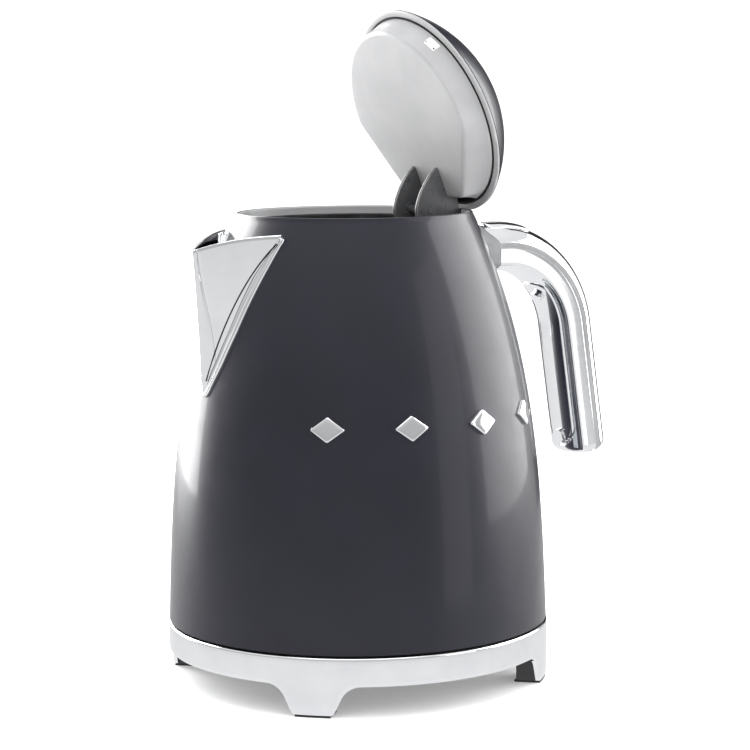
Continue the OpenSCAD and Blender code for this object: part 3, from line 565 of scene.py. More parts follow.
def base_ring():
    """The chrome ring: columns that follow the feet's outline, rounded along it."""
    half = ring_low_edge()
    span = RING_R * pi / 4
    half += [(t, RING_LOW) for t in spread(half[-1][0] + 2, span, 16)]
    outline = []
    for k in range(4):
        centre = RING_R * radians(45 + 90 * k)
        outline += [(centre - t, z) for t, z in reversed(half[1:])]
        outline += [(centre + t, z) for t, z in half[:-1]]
    n = len(outline)
    normals = []
    for i in range(n):
        (x0, z0), (x1, z1) = outline[i - 1], outline[(i + 1) % n]
        dx, dz = x1 - x0, z1 - z0
        if i == 0 or i == n - 1:
            dx, dz = 1, 0
        size = hypot(dx, dz)
        normals.append((-dz / size, dx / size))
    bevel = 0.7
    rings = []

    def ring_at(radius, inset):
        rings.append([(radius, s + nx * inset, z + nz * inset) for (s, z), (nx, nz) in zip(outline, normals)])

    ring_at(RING_IN_R, 0.0)
    for a in spread(0, 90, 6):
        ring_at(RING_R - 0.1 - bevel + bevel * sin(radians(a)), bevel * (1 - cos(radians(a))))
    low = rings[-1]
    for t in (0.2, 0.4, 0.6, 0.8):
        rings.append([(RING_R - 0.1 * (1 - t), s, z + (20 - z) * t) for _, s, z in low])
    top = [(RING_R, 20.0), (RING_R, 23.0)] + arc(RING_R - 1.1, 24.9, 1.1, 0, 90, 8)
    top += arc(RING_IN_R + 0.3, RING_TOP - 0.3, 0.3, 90, 180, 3)
    for r, z in top:
        rings.append([(r, s, z) for _, s, _ in low])
    verts = []
    for ring in rings:
        verts += [(r * cos(s / RING_R), r * sin(s / RING_R), z) for r, s, z in ring]
    faces = grid_faces(len(rings), n, close_cols=True, close_rows=True)
    piece = mesh_piece("chrome_base_ring", verts, faces, "base", "chrome", ["base_ring"], 40)
    gland = arc(0, 17.4, 5.1, 0, 350, 35)
    cut(piece, cutter_prism(gland, lambda u, v, d: (76 + 20 * d, u, v)))
    piece.data.set_sharp_from_angle(angle=radians(40))


# ---- Spout ---------------------------------------------------------------------
def spout_facet_limit(z, proud):
    """How far back along a facet the body's surface lies at a height, measured from the ridge."""
    ridge = SPOUT_TIP[0] - (z - SPOUT_TIP[1]) * tan(SPOUT_LEAN)
    r = shell_r(z) + proud
    b = ridge * cos(SPOUT_HALF)
    disc = b * b - ridge * ridge + r * r
    return -b - sqrt(disc) if disc > 0 and ridge < -r else 0.0


def flange_half(z):
    """Half width of the flange's outer edge at a height."""
    if z <= FLANGE_EDGE[0][1]:
        return 0.0
    for (y0, z0), (y1, z1) in zip(FLANGE_EDGE, FLANGE_EDGE[1:]):
        if z <= z1:
            return y0 + (y1 - y0) * (z - z0) / (z1 - z0)
    return FLANGE_EDGE[-1][0]


def spout_section(inset, reach, drift):
    """Half a section across the spout from the ridge to a facet's far edge, in the spout's frame."""
    nose = SPOUT_NOSE_R - inset
    h = 90 - degrees(SPOUT_HALF)
    points = arc(SPOUT_NOSE_R, 0, nose, 180, 180 + h, 8)
    crease = 0.0 if inset else 0.42
    u0, v0 = points[-1]
    along = (cos(SPOUT_HALF), -sin(SPOUT_HALF))
    into = (sin(SPOUT_HALF), cos(SPOUT_HALF))
    shape = [(0.1, 0.0), (0.15 + 0.5 * drift, -0.5)]
    shape += [(0.1 + drift, 0.0), (0.35 + drift, 1.0), (0.6 + drift, 0.2)]
    for t, d in shape:
        points.append((u0 + along[0] * t + into[0] * crease * d, v0 + along[1] * t + into[1] * crease * d))
    for t in spread(0.8 + drift, max(1.2 + drift, reach), 24):
        points.append((u0 + along[0] * t, v0 + along[1] * t))
    return points


def spout_shell():
    """The wedge of the spout as one thin shell with a rolled lip."""
    low, rows, roll = -62.0, 56, 0.45

    def row_points(height, inset, drop):
        """One row across the spout; the rows' heights are drawn out to end on the sloping lip."""
        z = SPOUT_TIP[1] + height
        reach = max(2.0, spout_facet_limit(min(z, 201), 0.0) + 0.5)
        section = spout_section(inset, reach, CREASE_SPREAD * smooth(-height / CREASE_RUN))
        row = []
        for u, v in [(u, -v) for u, v in reversed(section[1:])] + section:
            back = along_spout(u, v, 0)[0] - SPOUT_TIP[0]
            top = back * tan(LIP_SLOPE) + 1.5 * sin(min(1, abs(v) / 25) * pi)
            level = low + (height - low) * (top - low - drop) / (0 - low)
            row.append(along_spout(u, v, level))
        return row

    heights = [low + (0 - low) * (k / rows) for k in range(rows + 1)]
    loop = [row_points(height, 0.0, roll) for height in heights]
    for a in (30, 60, 90, 120, 150):
        mid = SPOUT_WALL / 2 * (1 - cos(radians(a)))
        loop.append(row_points(0.0, mid, roll - roll * sin(radians(a))))
    loop += [row_points(height, SPOUT_WALL, roll) for height in reversed(heights)]
    verts = [p for row in loop for p in row]
    n, cols = len(loop), len(loop[0])
    faces = grid_faces(n, cols, close_rows=True)
    for end in (0, cols - 1):
        for i in range((n - 1) // 2):
            faces.append(tuple(k * cols + end for k in (i, i + 1, n - 2 - i, n - 1 - i)))
    mesh_piece("spout_beak", verts, faces, "kettle", "chrome", ["spout"], 28)


def spout_flange():
    """The double-ridged collar round the spout, laid on the body's surface."""
    top_z, corner = 201.8, 2.4
    right = [(flange_half(z), z) for z in spread(134, top_z, 60)]
    bottom = [(y, 131.9 + 0.16 * y * y) for y in spread(-2.6, 2.6, 12)]
    left = [(-y, z) for y, z in reversed(right)]
    right = [p for p in right if p[0] > 2.9]
    left = [p for p in left if p[0] < -2.9]
    path = left + bottom + right
    for _ in range(6):
        trios = zip(path, path[1:], path[2:])
        eased = [tuple((a[i] + 2 * b[i] + c[i]) / 4 for i in (0, 1)) for a, b, c in trios]
        path = [path[0]] + eased + [path[-1]]
    n = len(path)
    across = [
        (0.0, -0.3), (0.0, 0.55), (0.12, 0.85), (0.4, 1.12), (0.8, 1.25), (1.15, 1.22), (1.35, 0.9),
        (1.5, 0.5), (1.75, 0.35), (2.0, 0.5), (2.15, 0.9), (2.4, 1.22), (2.9, 1.3), (3.5, 1.3), (4.1, 1.25),
        (4.6, 1.0), (4.9, 0.4), (5.0, -0.3),
    ]
    rows = []
    for width0, proud in across:
        row = []
        for i, (y, z) in enumerate(path):
            from_end = min(hypot(y - end_y, z - end_z) for end_y, end_z in (path[0], path[-1]))
            near = max(0.0, corner - from_end)
            width = max(width0, corner - sqrt(corner**2 - near**2))
            y0, z0 = path[max(0, i - 2)]
            y1, z1 = path[min(n - 1, i + 2)]
            size = hypot(y1 - y0, z1 - z0)
            ny, nz = -(z1 - z0) / size, (y1 - y0) / size
            py, pz = y + ny * width, z + nz * width
            if y * py < 0 or abs(py) < 0.02:
                py = 0.0
            pz = min(pz, top_z)
            if abs(y) < 4 and i not in (0, n - 1):
                pz = z + width * 1.25
            r = shell_r(pz) + proud
            row.append((-sqrt(r * r - py * py), py, pz))
        rows.append(row)
    verts = [p for row in rows for p in row]
    faces = grid_faces(len(rows), n, close_rows=True)
    count = len(rows)
    faces.append(tuple(i * n for i in range(count)))
    faces.append(tuple(i * n + n - 1 for i in reversed(range(count))))
    mesh_piece("spout_collar", verts, faces, "kettle", "chrome", (), 40)


def bead(name, paths, radius, body, look):
    """Thin round beads along paths, closed at both ends."""
    verts, faces = [], []
    angles = [2 * pi * k / 8 for k in range(8)]
    for path in paths:
        rings = []
        for i, point in enumerate(path):
            along = Vector(path[min(len(path) - 1, i + 1)]) - Vector(path[max(0, i - 1)])
            along.normalize()
            across = along.cross(Vector((-1, 0, 0))).normalized()
            other = along.cross(across)
            rings.append([tuple(Vector(point) + radius * (across * cos(a) + other * sin(a))) for a in angles])
        add_stack(verts, faces, rings)
    mesh_piece(name, verts, faces, body, look, (), 60)


def spout_painted_shade_line():
    """A thin dark rubber bead where the facets run into the collar: painted shade, a dark line standing in
    for the shadow and dark reflection in the crease.
    """
    paths = []
    for side in (-1, 1):
        path = []
        for z in spread(137, 201, 60):
            t = spout_facet_limit(z, 1.25)
            if t < 1.5:
                continue
            ridge = SPOUT_TIP[0] - (z - SPOUT_TIP[1]) * tan(SPOUT_LEAN)
            x = ridge + t * cos(SPOUT_HALF) - 0.55
            y = t * sin(SPOUT_HALF) + 0.70
            top = SPOUT_TIP[1] + (x - SPOUT_TIP[0]) * tan(LIP_SLOPE) - 0.6
            if z < top:
                path.append((x, side * y, z))
        paths.append(path)
    # The bead is painted shade: a dark line laid in the crease in place of its shadow and dark reflection.
    bead("spout_painted_shade_bead", paths, 0.34, "kettle", "rubber")


# ---- Handle --------------------------------------------------------------------
def handle_point(u, y, length):
    """A point u outwards from the handle's centre line, at a length along it from the bend's start."""
    if length <= 0:
        return (BEND_X + length, y, ROOT_Z + u)
    bend_l = BEND_R * BEND_ANGLE
    a = pi / 2 - min(length, bend_l) / BEND_R
    r = BEND_R + u
    x, z = BEND_X + r * cos(a), BEND_Z + r * sin(a)
    extra = max(0.0, length - bend_l)
    return (x + extra * sin(a), y, z - extra * cos(a))


HANDLE_END = BEND_R * BEND_ANGLE + GRIP_L
PLUG_LENGTHS = (BEND_R * (pi / 2 - radians(36)), BEND_R * BEND_ANGLE + 54)
GROOVE_Y = 9.0
PANEL_TOP = BEND_R * radians(38)
PANEL_LOW = HANDLE_END - 4.5


def back_outline():
    """Half of the back shell's outline from the seam to the crest, as (u, y)."""
    a = degrees(asin(HALF_W / BACK_ARC))
    pts = [(SEAM + 0.05, HALF_W - 0.25), (SEAM + 0.2, HALF_W - 0.06), (SEAM + 0.45, HALF_W - 0.12)]
    return pts + arc(BACK_C, 0, BACK_ARC, a - 3.2, 0, 30)


def front_u(y):
    """Place of the grip's front surface at a distance from its middle."""
    return FRONT_ARC - FRONT_H - sqrt(FRONT_ARC**2 - y * y)


def front_outline():
    """Half of the front shell's outline from the seam to the crest."""
    pts = [(-SEAM - 0.05, HALF_W - 0.25), (-SEAM - 0.2, HALF_W - 0.05), (-SEAM - 0.5, HALF_W)]
    pts += [(u, HALF_W) for u in (-3, -4.5, -6)]
    corner = 1.6
    pts += arc(-FRONT_EDGE + corner - 0.35, HALF_W - corner, corner, 90, 172, 8)[1:]
    ys = [10.9, 10.5, 10.15, 9.9, 9.7, 9.5, 9.3, 9.1, 8.9, 8.7, 8.5, 8.3, 8.1, 7.8, 7.4, 6.9]
    ys += [6.3, 5.6, 4.9, 4.2, 3.5, 2.8, 2.1, 1.4, 0.7, 0.0]
    return pts + [(front_u(y), y) for y in ys]


def groove_depth(y, length):
    """Depth of the groove round the raised panel on the front of the grip."""
    radius = GROOVE_Y
    a, b = PANEL_TOP + radius, PANEL_LOW - radius
    if length < a:
        d = hypot(length - a, y) - radius
    elif length > b:
        d = hypot(length - b, y) - radius
    else:
        d = abs(y) - radius
    return 0.75 * max(0.0, 1 - (abs(d) / 0.62) ** 2)


def root_start(u):
    """Where the chrome starts beside the bracket, as a length before the bend."""
    x = 65.8 + 4.6 * smooth((8.0 - u) / 7.0) if u > 0 else 71.0
    return x - BEND_X


def sweep_rows():
    """Lengths of the rows, and how far each is inset at the rounded end of the grip."""
    main = spread(0.0, PANEL_TOP - 1, 14)[1:] + spread(PANEL_TOP - 0.4, PANEL_TOP + 10, 26)
    main += spread(PANEL_TOP + 11.5, PANEL_LOW - 11.5, 46) + spread(PANEL_LOW - 10, PANEL_LOW + 0.4, 26)
    straight_end = HANDLE_END - END_CORNER
    rows = [("root", k / 6, 0.0) for k in range(7)]
    rows += [("main", l, 0.0) for l in main if l < straight_end]
    for a in spread(0, 84, 12):
        rows.append(("main", straight_end + END_CORNER * sin(radians(a)), END_CORNER * (1 - cos(radians(a)))))
    rows[-1] = ("main", HANDLE_END - 0.02, END_CORNER)
    return rows


def shell_of_handle(name, half, replaces, grooved):
    """Sweeps half an outline and its mirror along the handle and closes it over the end."""
    outline = half + [(u, -y) for u, y in reversed(half[:-1])]
    rows = sweep_rows()
    seam_u = half[0][0]
    crest = abs(half[-1][0] - seam_u)

    def place(kind, value, inset, u, y, shift):
        """One point of a row; shift is the distance inside the outer surface."""
        depth = inset + shift
        squeeze = max(0.0, (crest - END_SQUEEZE * inset - shift) / crest)
        uu = seam_u + (u - seam_u) * squeeze
        yy = max(-HALF_W + depth, min(HALF_W - depth, y * (HALF_W - depth) / HALF_W))
        length = root_start(uu) * (1 - value) if kind == "root" else value
        if grooved and shift == 0 and inset < 0.5:
            uu += groove_depth(yy, length)
        return handle_point(uu, yy, length)

    outer, inner = [], []
    for kind, value, inset in rows:
        end = value if kind == "root" else min(value, HANDLE_END - SHELL_T)
        outer += [place(kind, value, inset, u, y, 0.0) for u, y in outline]
        inner += [place(kind, end, min(inset, 3.0), u, y, SHELL_T) for u, y in outline]
    # The end cap: further rows that close down to the seam line.
    caps = 8
    for t in spread(0, 1, caps)[1:]:
        for u, y in outline:
            base_u = seam_u + (u - seam_u) * (crest - END_SQUEEZE * END_CORNER) / crest
            base_y = y * (HALF_W - END_CORNER) / HALF_W
            uu = seam_u + (base_u - seam_u) * (1 - t)
            outer.append(handle_point(uu, base_y, HANDLE_END - 0.02 + END_BULGE * sin(t * pi / 2)))
            inner.append(handle_point(uu, base_y * 0.9, HANDLE_END - SHELL_T))
    verts, faces = sheet_solid(outer, inner, len(rows) + caps, len(outline))
    return mesh_piece(name, verts, faces, "kettle", "chrome", replaces, 34)


def handle_strip():
    """The grey strip between the two chrome shells, down one side, over the end and up the other."""
    side, straight_end = HALF_W - 0.32, HANDLE_END - END_CORNER
    rows = [(side, l) for l in [-4.2, -3.0, -1.5] + spread(0, straight_end, 110)]
    for a in spread(8, 90, 10):
        rows.append((side - END_CORNER * (1 - cos(radians(a))), straight_end + END_CORNER * sin(radians(a))))
    end_y = rows[-1][0]
    rows += [(y, HANDLE_END + 0.2 + 1.0 * (1 - (y / end_y) ** 2)) for y in spread(end_y - 1, 0, 6)]
    rows += [(-y, l) for y, l in reversed(rows[:-1])]
    us = [-SEAM - 0.1, -0.7, 0.0, 0.7, SEAM + 0.1]
    outer, inner = [], []
    count = len(rows)
    for i, (y, l) in enumerate(rows):
        y0, l0 = rows[max(0, i - 1)]
        y1, l1 = rows[min(count - 1, i + 1)]
        size = hypot(y1 - y0, l1 - l0)
        ny, nl = (l1 - l0) / size, -(y1 - y0) / size
        for u in us:
            crown = 0.12 * (1 - (u / SEAM) ** 2)
            outer.append(handle_point(u, y + ny * crown, l + nl * crown))
            inner.append(handle_point(u, y - ny * 1.6, l - nl * 1.6))
    verts, faces = sheet_solid(outer, inner, count, len(us))
    mesh_piece("handle_seam_strip", verts, faces, "kettle", "grey", ["handle_gasket"], 40)


def handle_bracket():
    """The grey collar between the body and the chrome, wider below."""
    half = [(SEAM, HALF_W - 0.18)] + back_outline()[2:]
    front = list(reversed(front_outline()[3:])) + [(-SEAM, HALF_W - 0.18), (0.0, HALF_W - 0.18)]
    right = front + half
    outline = right + [(u, -y) for u, y in reversed(right[1:-1])]
    n = len(outline)
    rows = []
    for t in spread(0, 1, 8):
        row = []
        for u, y in outline:
            uu, yy = u * 0.985, y * 0.985
            z = ROOT_Z + uu
            x0 = sqrt(shell_r(z) ** 2 - yy * yy) + 0.04
            x1 = BEND_X + root_start(uu) + 0.5
            row.append((x0 + (x1 - x0) * t, yy, z))
        rows.append(row)
    verts = [p for row in rows for p in row]
    faces = grid_faces(len(rows), n, close_cols=True)
    mid = []
    for row, order in ((rows[0], 1), (rows[-1], -1)):
        x = sum(p[0] for p in row) / n if order == 1 else min(p[0] for p in row)
        verts.append((x, 0.0, ROOT_Z - 1))
        mid.append(len(verts) - 1)
    last = (len(rows) - 1) * n
    for j in range(n):
        faces.append((mid[0], (j + 1) % n, j))
        faces.append((mid[1], last + j, last + (j + 1) % n))
    mesh_piece("handle_root_collar", verts, faces, "kettle", "grey", ["handle_bracket"], 40)


def button_top(x, y, proud):
    """Height of the handle's back surface at a place, plus a rise."""
    u = BACK_C + sqrt(BACK_ARC**2 - y * y) + proud
    if x <= BEND_X:
        return ROOT_Z + u
    return BEND_Z + sqrt((BEND_R + u) ** 2 - (x - BEND_X) ** 2)


def lid_button():
    """The release button: a soft-edged bar that follows the handle's back."""
    outline = rounded_rect(BUTTON_X0, -BUTTON_W / 2, BUTTON_X1, BUTTON_W / 2, 2.2, 8)
    cx, half_l, half_w = (BUTTON_X0 + BUTTON_X1) / 2, (BUTTON_X1 - BUTTON_X0) / 2, BUTTON_W / 2
    dense = []
    for (x0, y0), (x1, y1) in zip(outline, outline[1:] + outline[:1]):
        parts = max(1, int(hypot(x1 - x0, y1 - y0) / 1.6))
        dense += [(x0 + (x1 - x0) * k / parts, y0 + (y1 - y0) * k / parts) for k in range(parts)]

    def ring(scale_x, scale_y, proud):
        """The outline scaled about the button's middle and laid at a height over the handle."""
        spots = [(cx + (x - cx) * scale_x, y * scale_y) for x, y in dense]
        return [(x, y, button_top(x, y, proud)) for x, y in spots]

    steps = [(0.0, -1.75), (0.0, 0.2), (0.08, 0.55), (0.3, 0.85), (0.7, 1.02), (1.4, 1.12), (3.0, 1.16)]
    rings = [ring(1 - inset / half_l, 1 - inset / half_w, proud) for inset, proud in steps]
    edge_x, edge_y = 1 - steps[-1][0] / half_l, 1 - steps[-1][0] / half_w
    rings += [ring(edge_x * (0.75 + 0.25 * t), edge_y * t, 1.18) for t in (0.66, 0.33, 0.02)]
    verts, faces = [], []
    add_stack(verts, faces, rings)
    mesh_piece("lid_release_button", verts, faces, "button", "chrome", ["release_button"], 50)


def grip_plugs():
    """Two plugs with a domed top in the front of the handle."""
    verts, faces = [], []
    steps = [(3.4, -2.4), (3.4, -0.1), (3.2, 0.2), (2.7, 0.35), (1.5, 0.42)]
    angles = [2 * pi * k / 40 for k in range(40)]
    for length in PLUG_LENGTHS:
        rings = []
        for r, proud in steps:
            spots = [(r * cos(a), length + r * sin(a)) for a in angles]
            rings.append([handle_point(front_u(y) - proud, y, l) for y, l in spots])
        add_stack(verts, faces, rings)
    mesh_piece("grip_plugs", verts, faces, "kettle", "satin_plastic", ["handle_plugs"], 40)


def handle():
    """The whole handle: two chrome shells cut for the button and the plugs, and what sits on them."""
    outer = shell_of_handle("handle_back_shell", back_outline(), ["handle_outer_shell"], False)
    gap = 0.35
    x0, x1, half_w = BUTTON_X0 - gap, BUTTON_X1 + gap, BUTTON_W / 2 + gap
    slot = rounded_rect(x0, -half_w, x1, half_w, 2.5, 8)
    cut(outer, cutter_prism(slot, lambda u, v, d: (u, v, 188 + 25 * d)))
    inner = shell_of_handle("handle_front_shell", front_outline(), ["handle_inner_shell"], True)
    for length in PLUG_LENGTHS:
        hole = arc(0, length, 3.6, 0, 350, 35)
        cut(inner, cutter_prism(hole, lambda y, l, d: handle_point(-14 + 7 * d, y, l)))
    for shell in (outer, inner):
        shell.data.set_sharp_from_angle(angle=radians(34))
    handle_strip()
    handle_bracket()
    lid_button()
    grip_plugs()


# ---- Lid -----------------------------------------------------------------------
def lid_round(name, profile, segments, look, replaced, sharp):
    """One round piece of the lid, from its profile on the shut lid."""
    verts, faces = revolve(profile, segments, centre_x=LID_X)
    faces = [f for f in faces if len({tuple(round(c, 5) for c in verts[i]) for i in f}) > 2]
    mesh_piece(name, [open_lid(v) for v in verts], faces, "lid", look, [replaced], sharp)


def lid_rounds():
    """The lid's round pieces: painted dome, bright ring and gasket."""
    wall = 1.2
    rise = DOME_H - wall
    sphere_r = (LID_R**2 + rise**2) / (2 * rise)
    sphere_z = LID_PLANE + DOME_H - sphere_r

    def dome_arc(r, n):
        """Points of a dome from its edge to the axis."""
        edge = degrees(acos((LID_PLANE + wall - sphere_z) / r))
        points = [(r * sin(radians(a)), sphere_z + r * cos(radians(a))) for a in spread(edge, 0, n)]
        return points[:-1] + [(0.0, points[-1][1])]

    dome = dome_arc(sphere_r, 60) + dome_arc(sphere_r - wall, 40)[::-1]
    lid_round("lid_painted_dome", dome, 192, "paint", "lid_dome", 30)
    ring = arc(48.6, 211.55, 0.55, -80, 80, 8) + [(48.2, 212.12), (46.2, 212.12)]
    ring += arc(46.1, 211.7, 0.3, 100, 200, 4) + arc(46.4, 211.3, 0.3, 200, 268, 4) + [(47.5, 210.95)]
    lid_round("lid_bright_ring", ring, 192, "satin_plastic", "lid_ring", 40)
    gasket = arc(45.47, 210.9, 0.26, 180, 360, 8) + [(45.73, 212.9), (45.21, 212.9)]
    lid_round("lid_seal", gasket, 160, "rubber", "lid_gasket", 40)


def cover_edge(angle):
    """Radius of the inner cover's flat face: round in front, cut straight towards the hinge."""
    c, d = cos(angle), abs(sin(angle))
    slant = COVER_DROP * c + COVER_BACK * d
    limits = [
        COVER_R,
        COVER_SIDE * COVER_BACK / slant if slant > 1 else 99.0,
        COVER_BACK / c if c > 0.05 else 99.0,
    ]
    return -0.3 * log(sum(exp(-r / 0.3) for r in limits))


def lid_cover():
    """The inner cover: a flat face, a soft edge, and a skirt that widens to the lid's ring."""
    plane, low = LID_PLANE - 0.1, LID_PLANE - COVER_DEPTH
    rim, soft = 1.5 / COVER_DEPTH, 1.6

    def flat(edge, share):
        r = share * (edge - soft)
        return r, low, r * 0.96, low + COVER_WALL

    def bend(edge, t):
        r2, z2 = edge + (COVER_TOP_R - edge) * rim, low + COVER_DEPTH * rim
        r = (1 - t) ** 2 * (edge - soft) + 2 * t * (1 - t) * edge + t * t * r2
        z = (1 - t) ** 2 * low + 2 * t * (1 - t) * low + t * t * z2
        return r, z, r - COVER_WALL, z + COVER_WALL

    def skirt(edge, t):
        share = rim + (1 - rim) * t
        hollow = 0.9 * sin(pi * t) * (COVER_TOP_R - edge) / 12
        r = edge + (COVER_TOP_R - edge) * share - hollow
        z = min(plane, low + COVER_DEPTH * share)
        return r, z, r - COVER_WALL, min(plane, z + COVER_WALL)

    rows = [(flat, share) for share in (0.0, 0.25, 0.5, 0.75, 0.9)]
    rows += [(bend, t) for t in spread(0, 1, 7)] + [(skirt, t) for t in spread(0.2, 1, 8)]
    cols = 288
    outer, inner = [], []
    for shape, t in rows:
        for k in range(cols):
            a = 2 * pi * k / cols
            r, z, inner_r, inner_z = shape(cover_edge(a), t)
            outer.append((LID_X + r * cos(a), r * sin(a), z))
            inner.append((LID_X + inner_r * cos(a), inner_r * sin(a), inner_z))
    n = len(outer)
    faces = grid_faces(len(rows), cols, close_cols=True)
    faces += [tuple(n + k for k in reversed(f)) for f in faces]
    last = n - cols
    for k in range(cols):
        m = (k + 1) % cols
        faces.append((last + m, last + k, n + last + k, n + last + m))
    verts = [open_lid(v) for v in outer + inner]
    piece = mesh_piece("lid_inner_shell", verts, faces, "lid", "satin_plastic", ["lid_inner_cover"], 30)
    gap = 0.15
    for y0, y1 in ((-ARM_OUT_Y - gap, -ARM_IN_Y + gap), (ARM_IN_Y - gap, ARM_OUT_Y + gap)):
        slot = [(22, y0), (60, y0), (60, y1), (22, y1)]
        cut(piece, cutter_prism(slot, lambda u, v, d: open_lid((u, v, 190 + 24 * d))))
    recess = rounded_rect(38.6, -15.5, 60, 15.5, 2)
    cut(piece, cutter_prism(recess, lambda u, v, d: open_lid((u, v, 203 + 12 * d))))
    piece.data.set_sharp_from_angle(angle=radians(30))


def skirt_patch(outline, middle, mid_z, proud_low, proud_high):
    """Rings of a pad laid on the cover's skirt, its outline in (arc distance, height)."""
    rings = []
    for scale, proud in [(1.0, proud_low), (1.0, proud_high - 0.12), (0.9, proud_high)]:
        ring = []
        for s, z in outline:
            zz = mid_z + (z - mid_z) * scale
            a = middle + s * scale / COVER_TOP_R
            widening = (COVER_TOP_R - COVER_R) * (zz - LID_PLANE + COVER_DEPTH) / COVER_DEPTH
            r = COVER_R + widening + proud
            ring.append(open_lid((LID_X + r * cos(a), r * sin(a), zz)))
        rings.append(ring)
    return rings


def lid_clips():
    """Two white clips on the skirt, each with a pair of small dark discs: painted shade standing in for the
    dark inside of its hole openings.
    """
    clips, hole_shades = ([], []), ([], [])
    for side in (-1, 1):
        middle = pi + side * radians(40)
        pad = rounded_rect(-3.4, 205.6, 3.4, 209.6, 0.7)
        add_stack(*clips, skirt_patch(pad, middle, 207.6, -0.5, 0.45))
        for s in (-3.0, 3.0):
            # Each dark disc is painted shade, laid on the clip where an opening in it would look dark.
            spot = arc(s * 0.95, 206.4, 0.36, 0, 330, 11)
            add_stack(*hole_shades, skirt_patch(spot, middle, 206.4, 0.2, 0.6))
    mesh_piece("lid_clip_pads", *clips, "lid", "white", ["lid_clips"], 40)
    mesh_piece("lid_clip_hole_shade", *hole_shades, "lid", "dark", (), 40)


def arm_outline():
    """Side view of an arm on the shut lid: a bowed front edge, a straight back and a round knuckle."""
    points = [(22.0, 208.0)] + arc(53.1, 211, 33.8, 199, 235, 14) + [(36.6, 182.0), (40.4, 182.2)]
    points += arc(*PIVOT, 2.6, -38, 90, 10)
    return points + [(44.3, 203.7), (39.1, 204.6), (33.0, 206.2), (32.0, 208.0)]


def shrink(outline, inset):
    """Moves an outline's points inwards; the outline runs anticlockwise or clockwise alike."""
    neighbours = list(zip(outline[-1:] + outline[:-1], outline, outline[1:] + outline[:1]))
    area = sum(here[0] * after[1] - after[0] * here[1] for _, here, after in neighbours)
    turn = 1 if area > 0 else -1
    result = []
    for (x0, z0), (x, z), (x1, z1) in neighbours:
        shift = turn * inset / hypot(x1 - x0, z1 - z0)
        result.append((x - (z1 - z0) * shift, z + (x1 - x0) * shift))
    return result


def lid_arms():
    """The two lid arms, with soft edges and a fine groove round the rim."""
    outline = arm_outline()
    verts, faces = [], []
    across = [(0.0, 0.35), (0.12, 0.1), (0.35, 0.0), (0.85, 0.0), (0.95, 0.12), (1.0, 0.7)]
    across += [(1.5, 0.7), (1.55, 0.12), (1.65, 0.0), (2.15, 0.0), (2.38, 0.1), (2.5, 0.35)]
    for side in (-1, 1):
        rings = []
        for y, inset in across:
            rings.append([open_lid((x, side * (ARM_IN_Y + y), z)) for x, z in shrink(outline, inset)])
        add_stack(verts, faces, rings)
    piece = mesh_piece("lid_arm_plates", verts, faces, "lid", "arm", ["lid_arms"], 35)
    pin = arc(*PIVOT, 1.62, 0, 345, 23)
    cut(piece, cutter_prism(pin, lambda u, v, d: open_lid((u, 20 - 40 * d, v))))
    piece.data.set_sharp_from_angle(angle=radians(35))


# ---- CAD nodes that keep their shape --------------------------------------------
NODE_LOOKS = {
    "rubber": ["foot_pads", "plate_seal", "window_gasket"],
    "dark": [
        "base_top_plate", "base_bottom_cover", "connector_post", "cord_gland", "lower_frame",
        "control_unit", "bottom_cover", "switch_housing", "switch_lever", "handle_core",
    ],
    "arm": ["lid_catch_pin", "hinge_bracket"],
    "grey": ["connector_guide_ring", "lid_frame", "filter_frame"],
    "satin_plastic": ["filter_rails"],
    "white": ["terminal_block"],
    "brass": ["contact_rings", "connector_pin", "control_contacts"],
    "chrome": ["lever_bezel", "lever_knob"],
    "window": ["water_window"],
    "gauze": ["filter_mesh"],
}


def dress_cad_nodes():
    """Gives every CAD node its procedural finish; what isn't listed is steel."""
    looks = {node: look for look, nodes in NODE_LOOKS.items() for node in nodes}
    for name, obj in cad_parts.items():
        look = looks.get(name, "steel")
        obj.data.materials.clear()
        obj.data.materials.append(MAT[look])


# ---- Stage ---------------------------------------------------------------------
def camera_axes(azimuth, pitch=0, roll=0):
    """Right, up and back of a camera at these angles in degrees."""
    a, e, r = radians(azimuth), radians(pitch), radians(roll)
    back = Vector((sin(a) * cos(e), -cos(a) * cos(e), sin(e)))
    right = Vector((cos(a), sin(a), 0))
    up = back.cross(right)
    return right * cos(r) + up * sin(r), up * cos(r) - right * sin(r), back


def make_camera():
    """The camera at the picture's own angle: a long lens a little above the handle's side."""
    right, up, back = camera_axes(CAMERA_BEARING, CAMERA_PITCH, CAMERA_ROLL)
    target = Vector((0, 0, 0.1361)) + right * 0.0086
    data = bpy.data.cameras.new("camera")
    data.sensor_width = 36.0
    data.lens = CAMERA_LENS
    data.clip_end = 20
    cam = add_object("camera", data)
    turn = Matrix((right, up, back)).transposed().to_4x4()
    cam.matrix_world = Matrix.Translation(target + back * 1.1) @ turn
    bpy.context.scene.camera = cam


def make_floor():
    """A pale floor that curves up into a backdrop all round; reflections don't see it."""
    profile = [(0.0, 0.0), (1.2, 0.0)] + arc(1.2, 1.2, 1.2, -85, 0, 17) + [(2.4, 3.2)]
    verts, faces = revolve(profile, 96, closed=False)
    mesh = make_mesh("floor", verts, faces, unit=1.0, merge=True, outward=False)
    for face in mesh.polygons:
        face.use_smooth = True
    mesh.materials.append(floor_material())
    floor = add_object("floor", mesh)
    floor.visible_glossy = False


def aim(obj, bearing, distance, height, aim_z):
    """Places an object at a bearing from the camera's side and turns it towards the kettle's axis."""
    _, _, back = camera_axes(CAMERA_BEARING + bearing)
    place = back * distance + Vector((0, 0, height))
    direction = Vector((0, 0, aim_z)) - place
    turn = direction.to_track_quat("-Z", "Y").to_matrix().to_4x4()
    obj.matrix_world = Matrix.Translation(place) @ turn


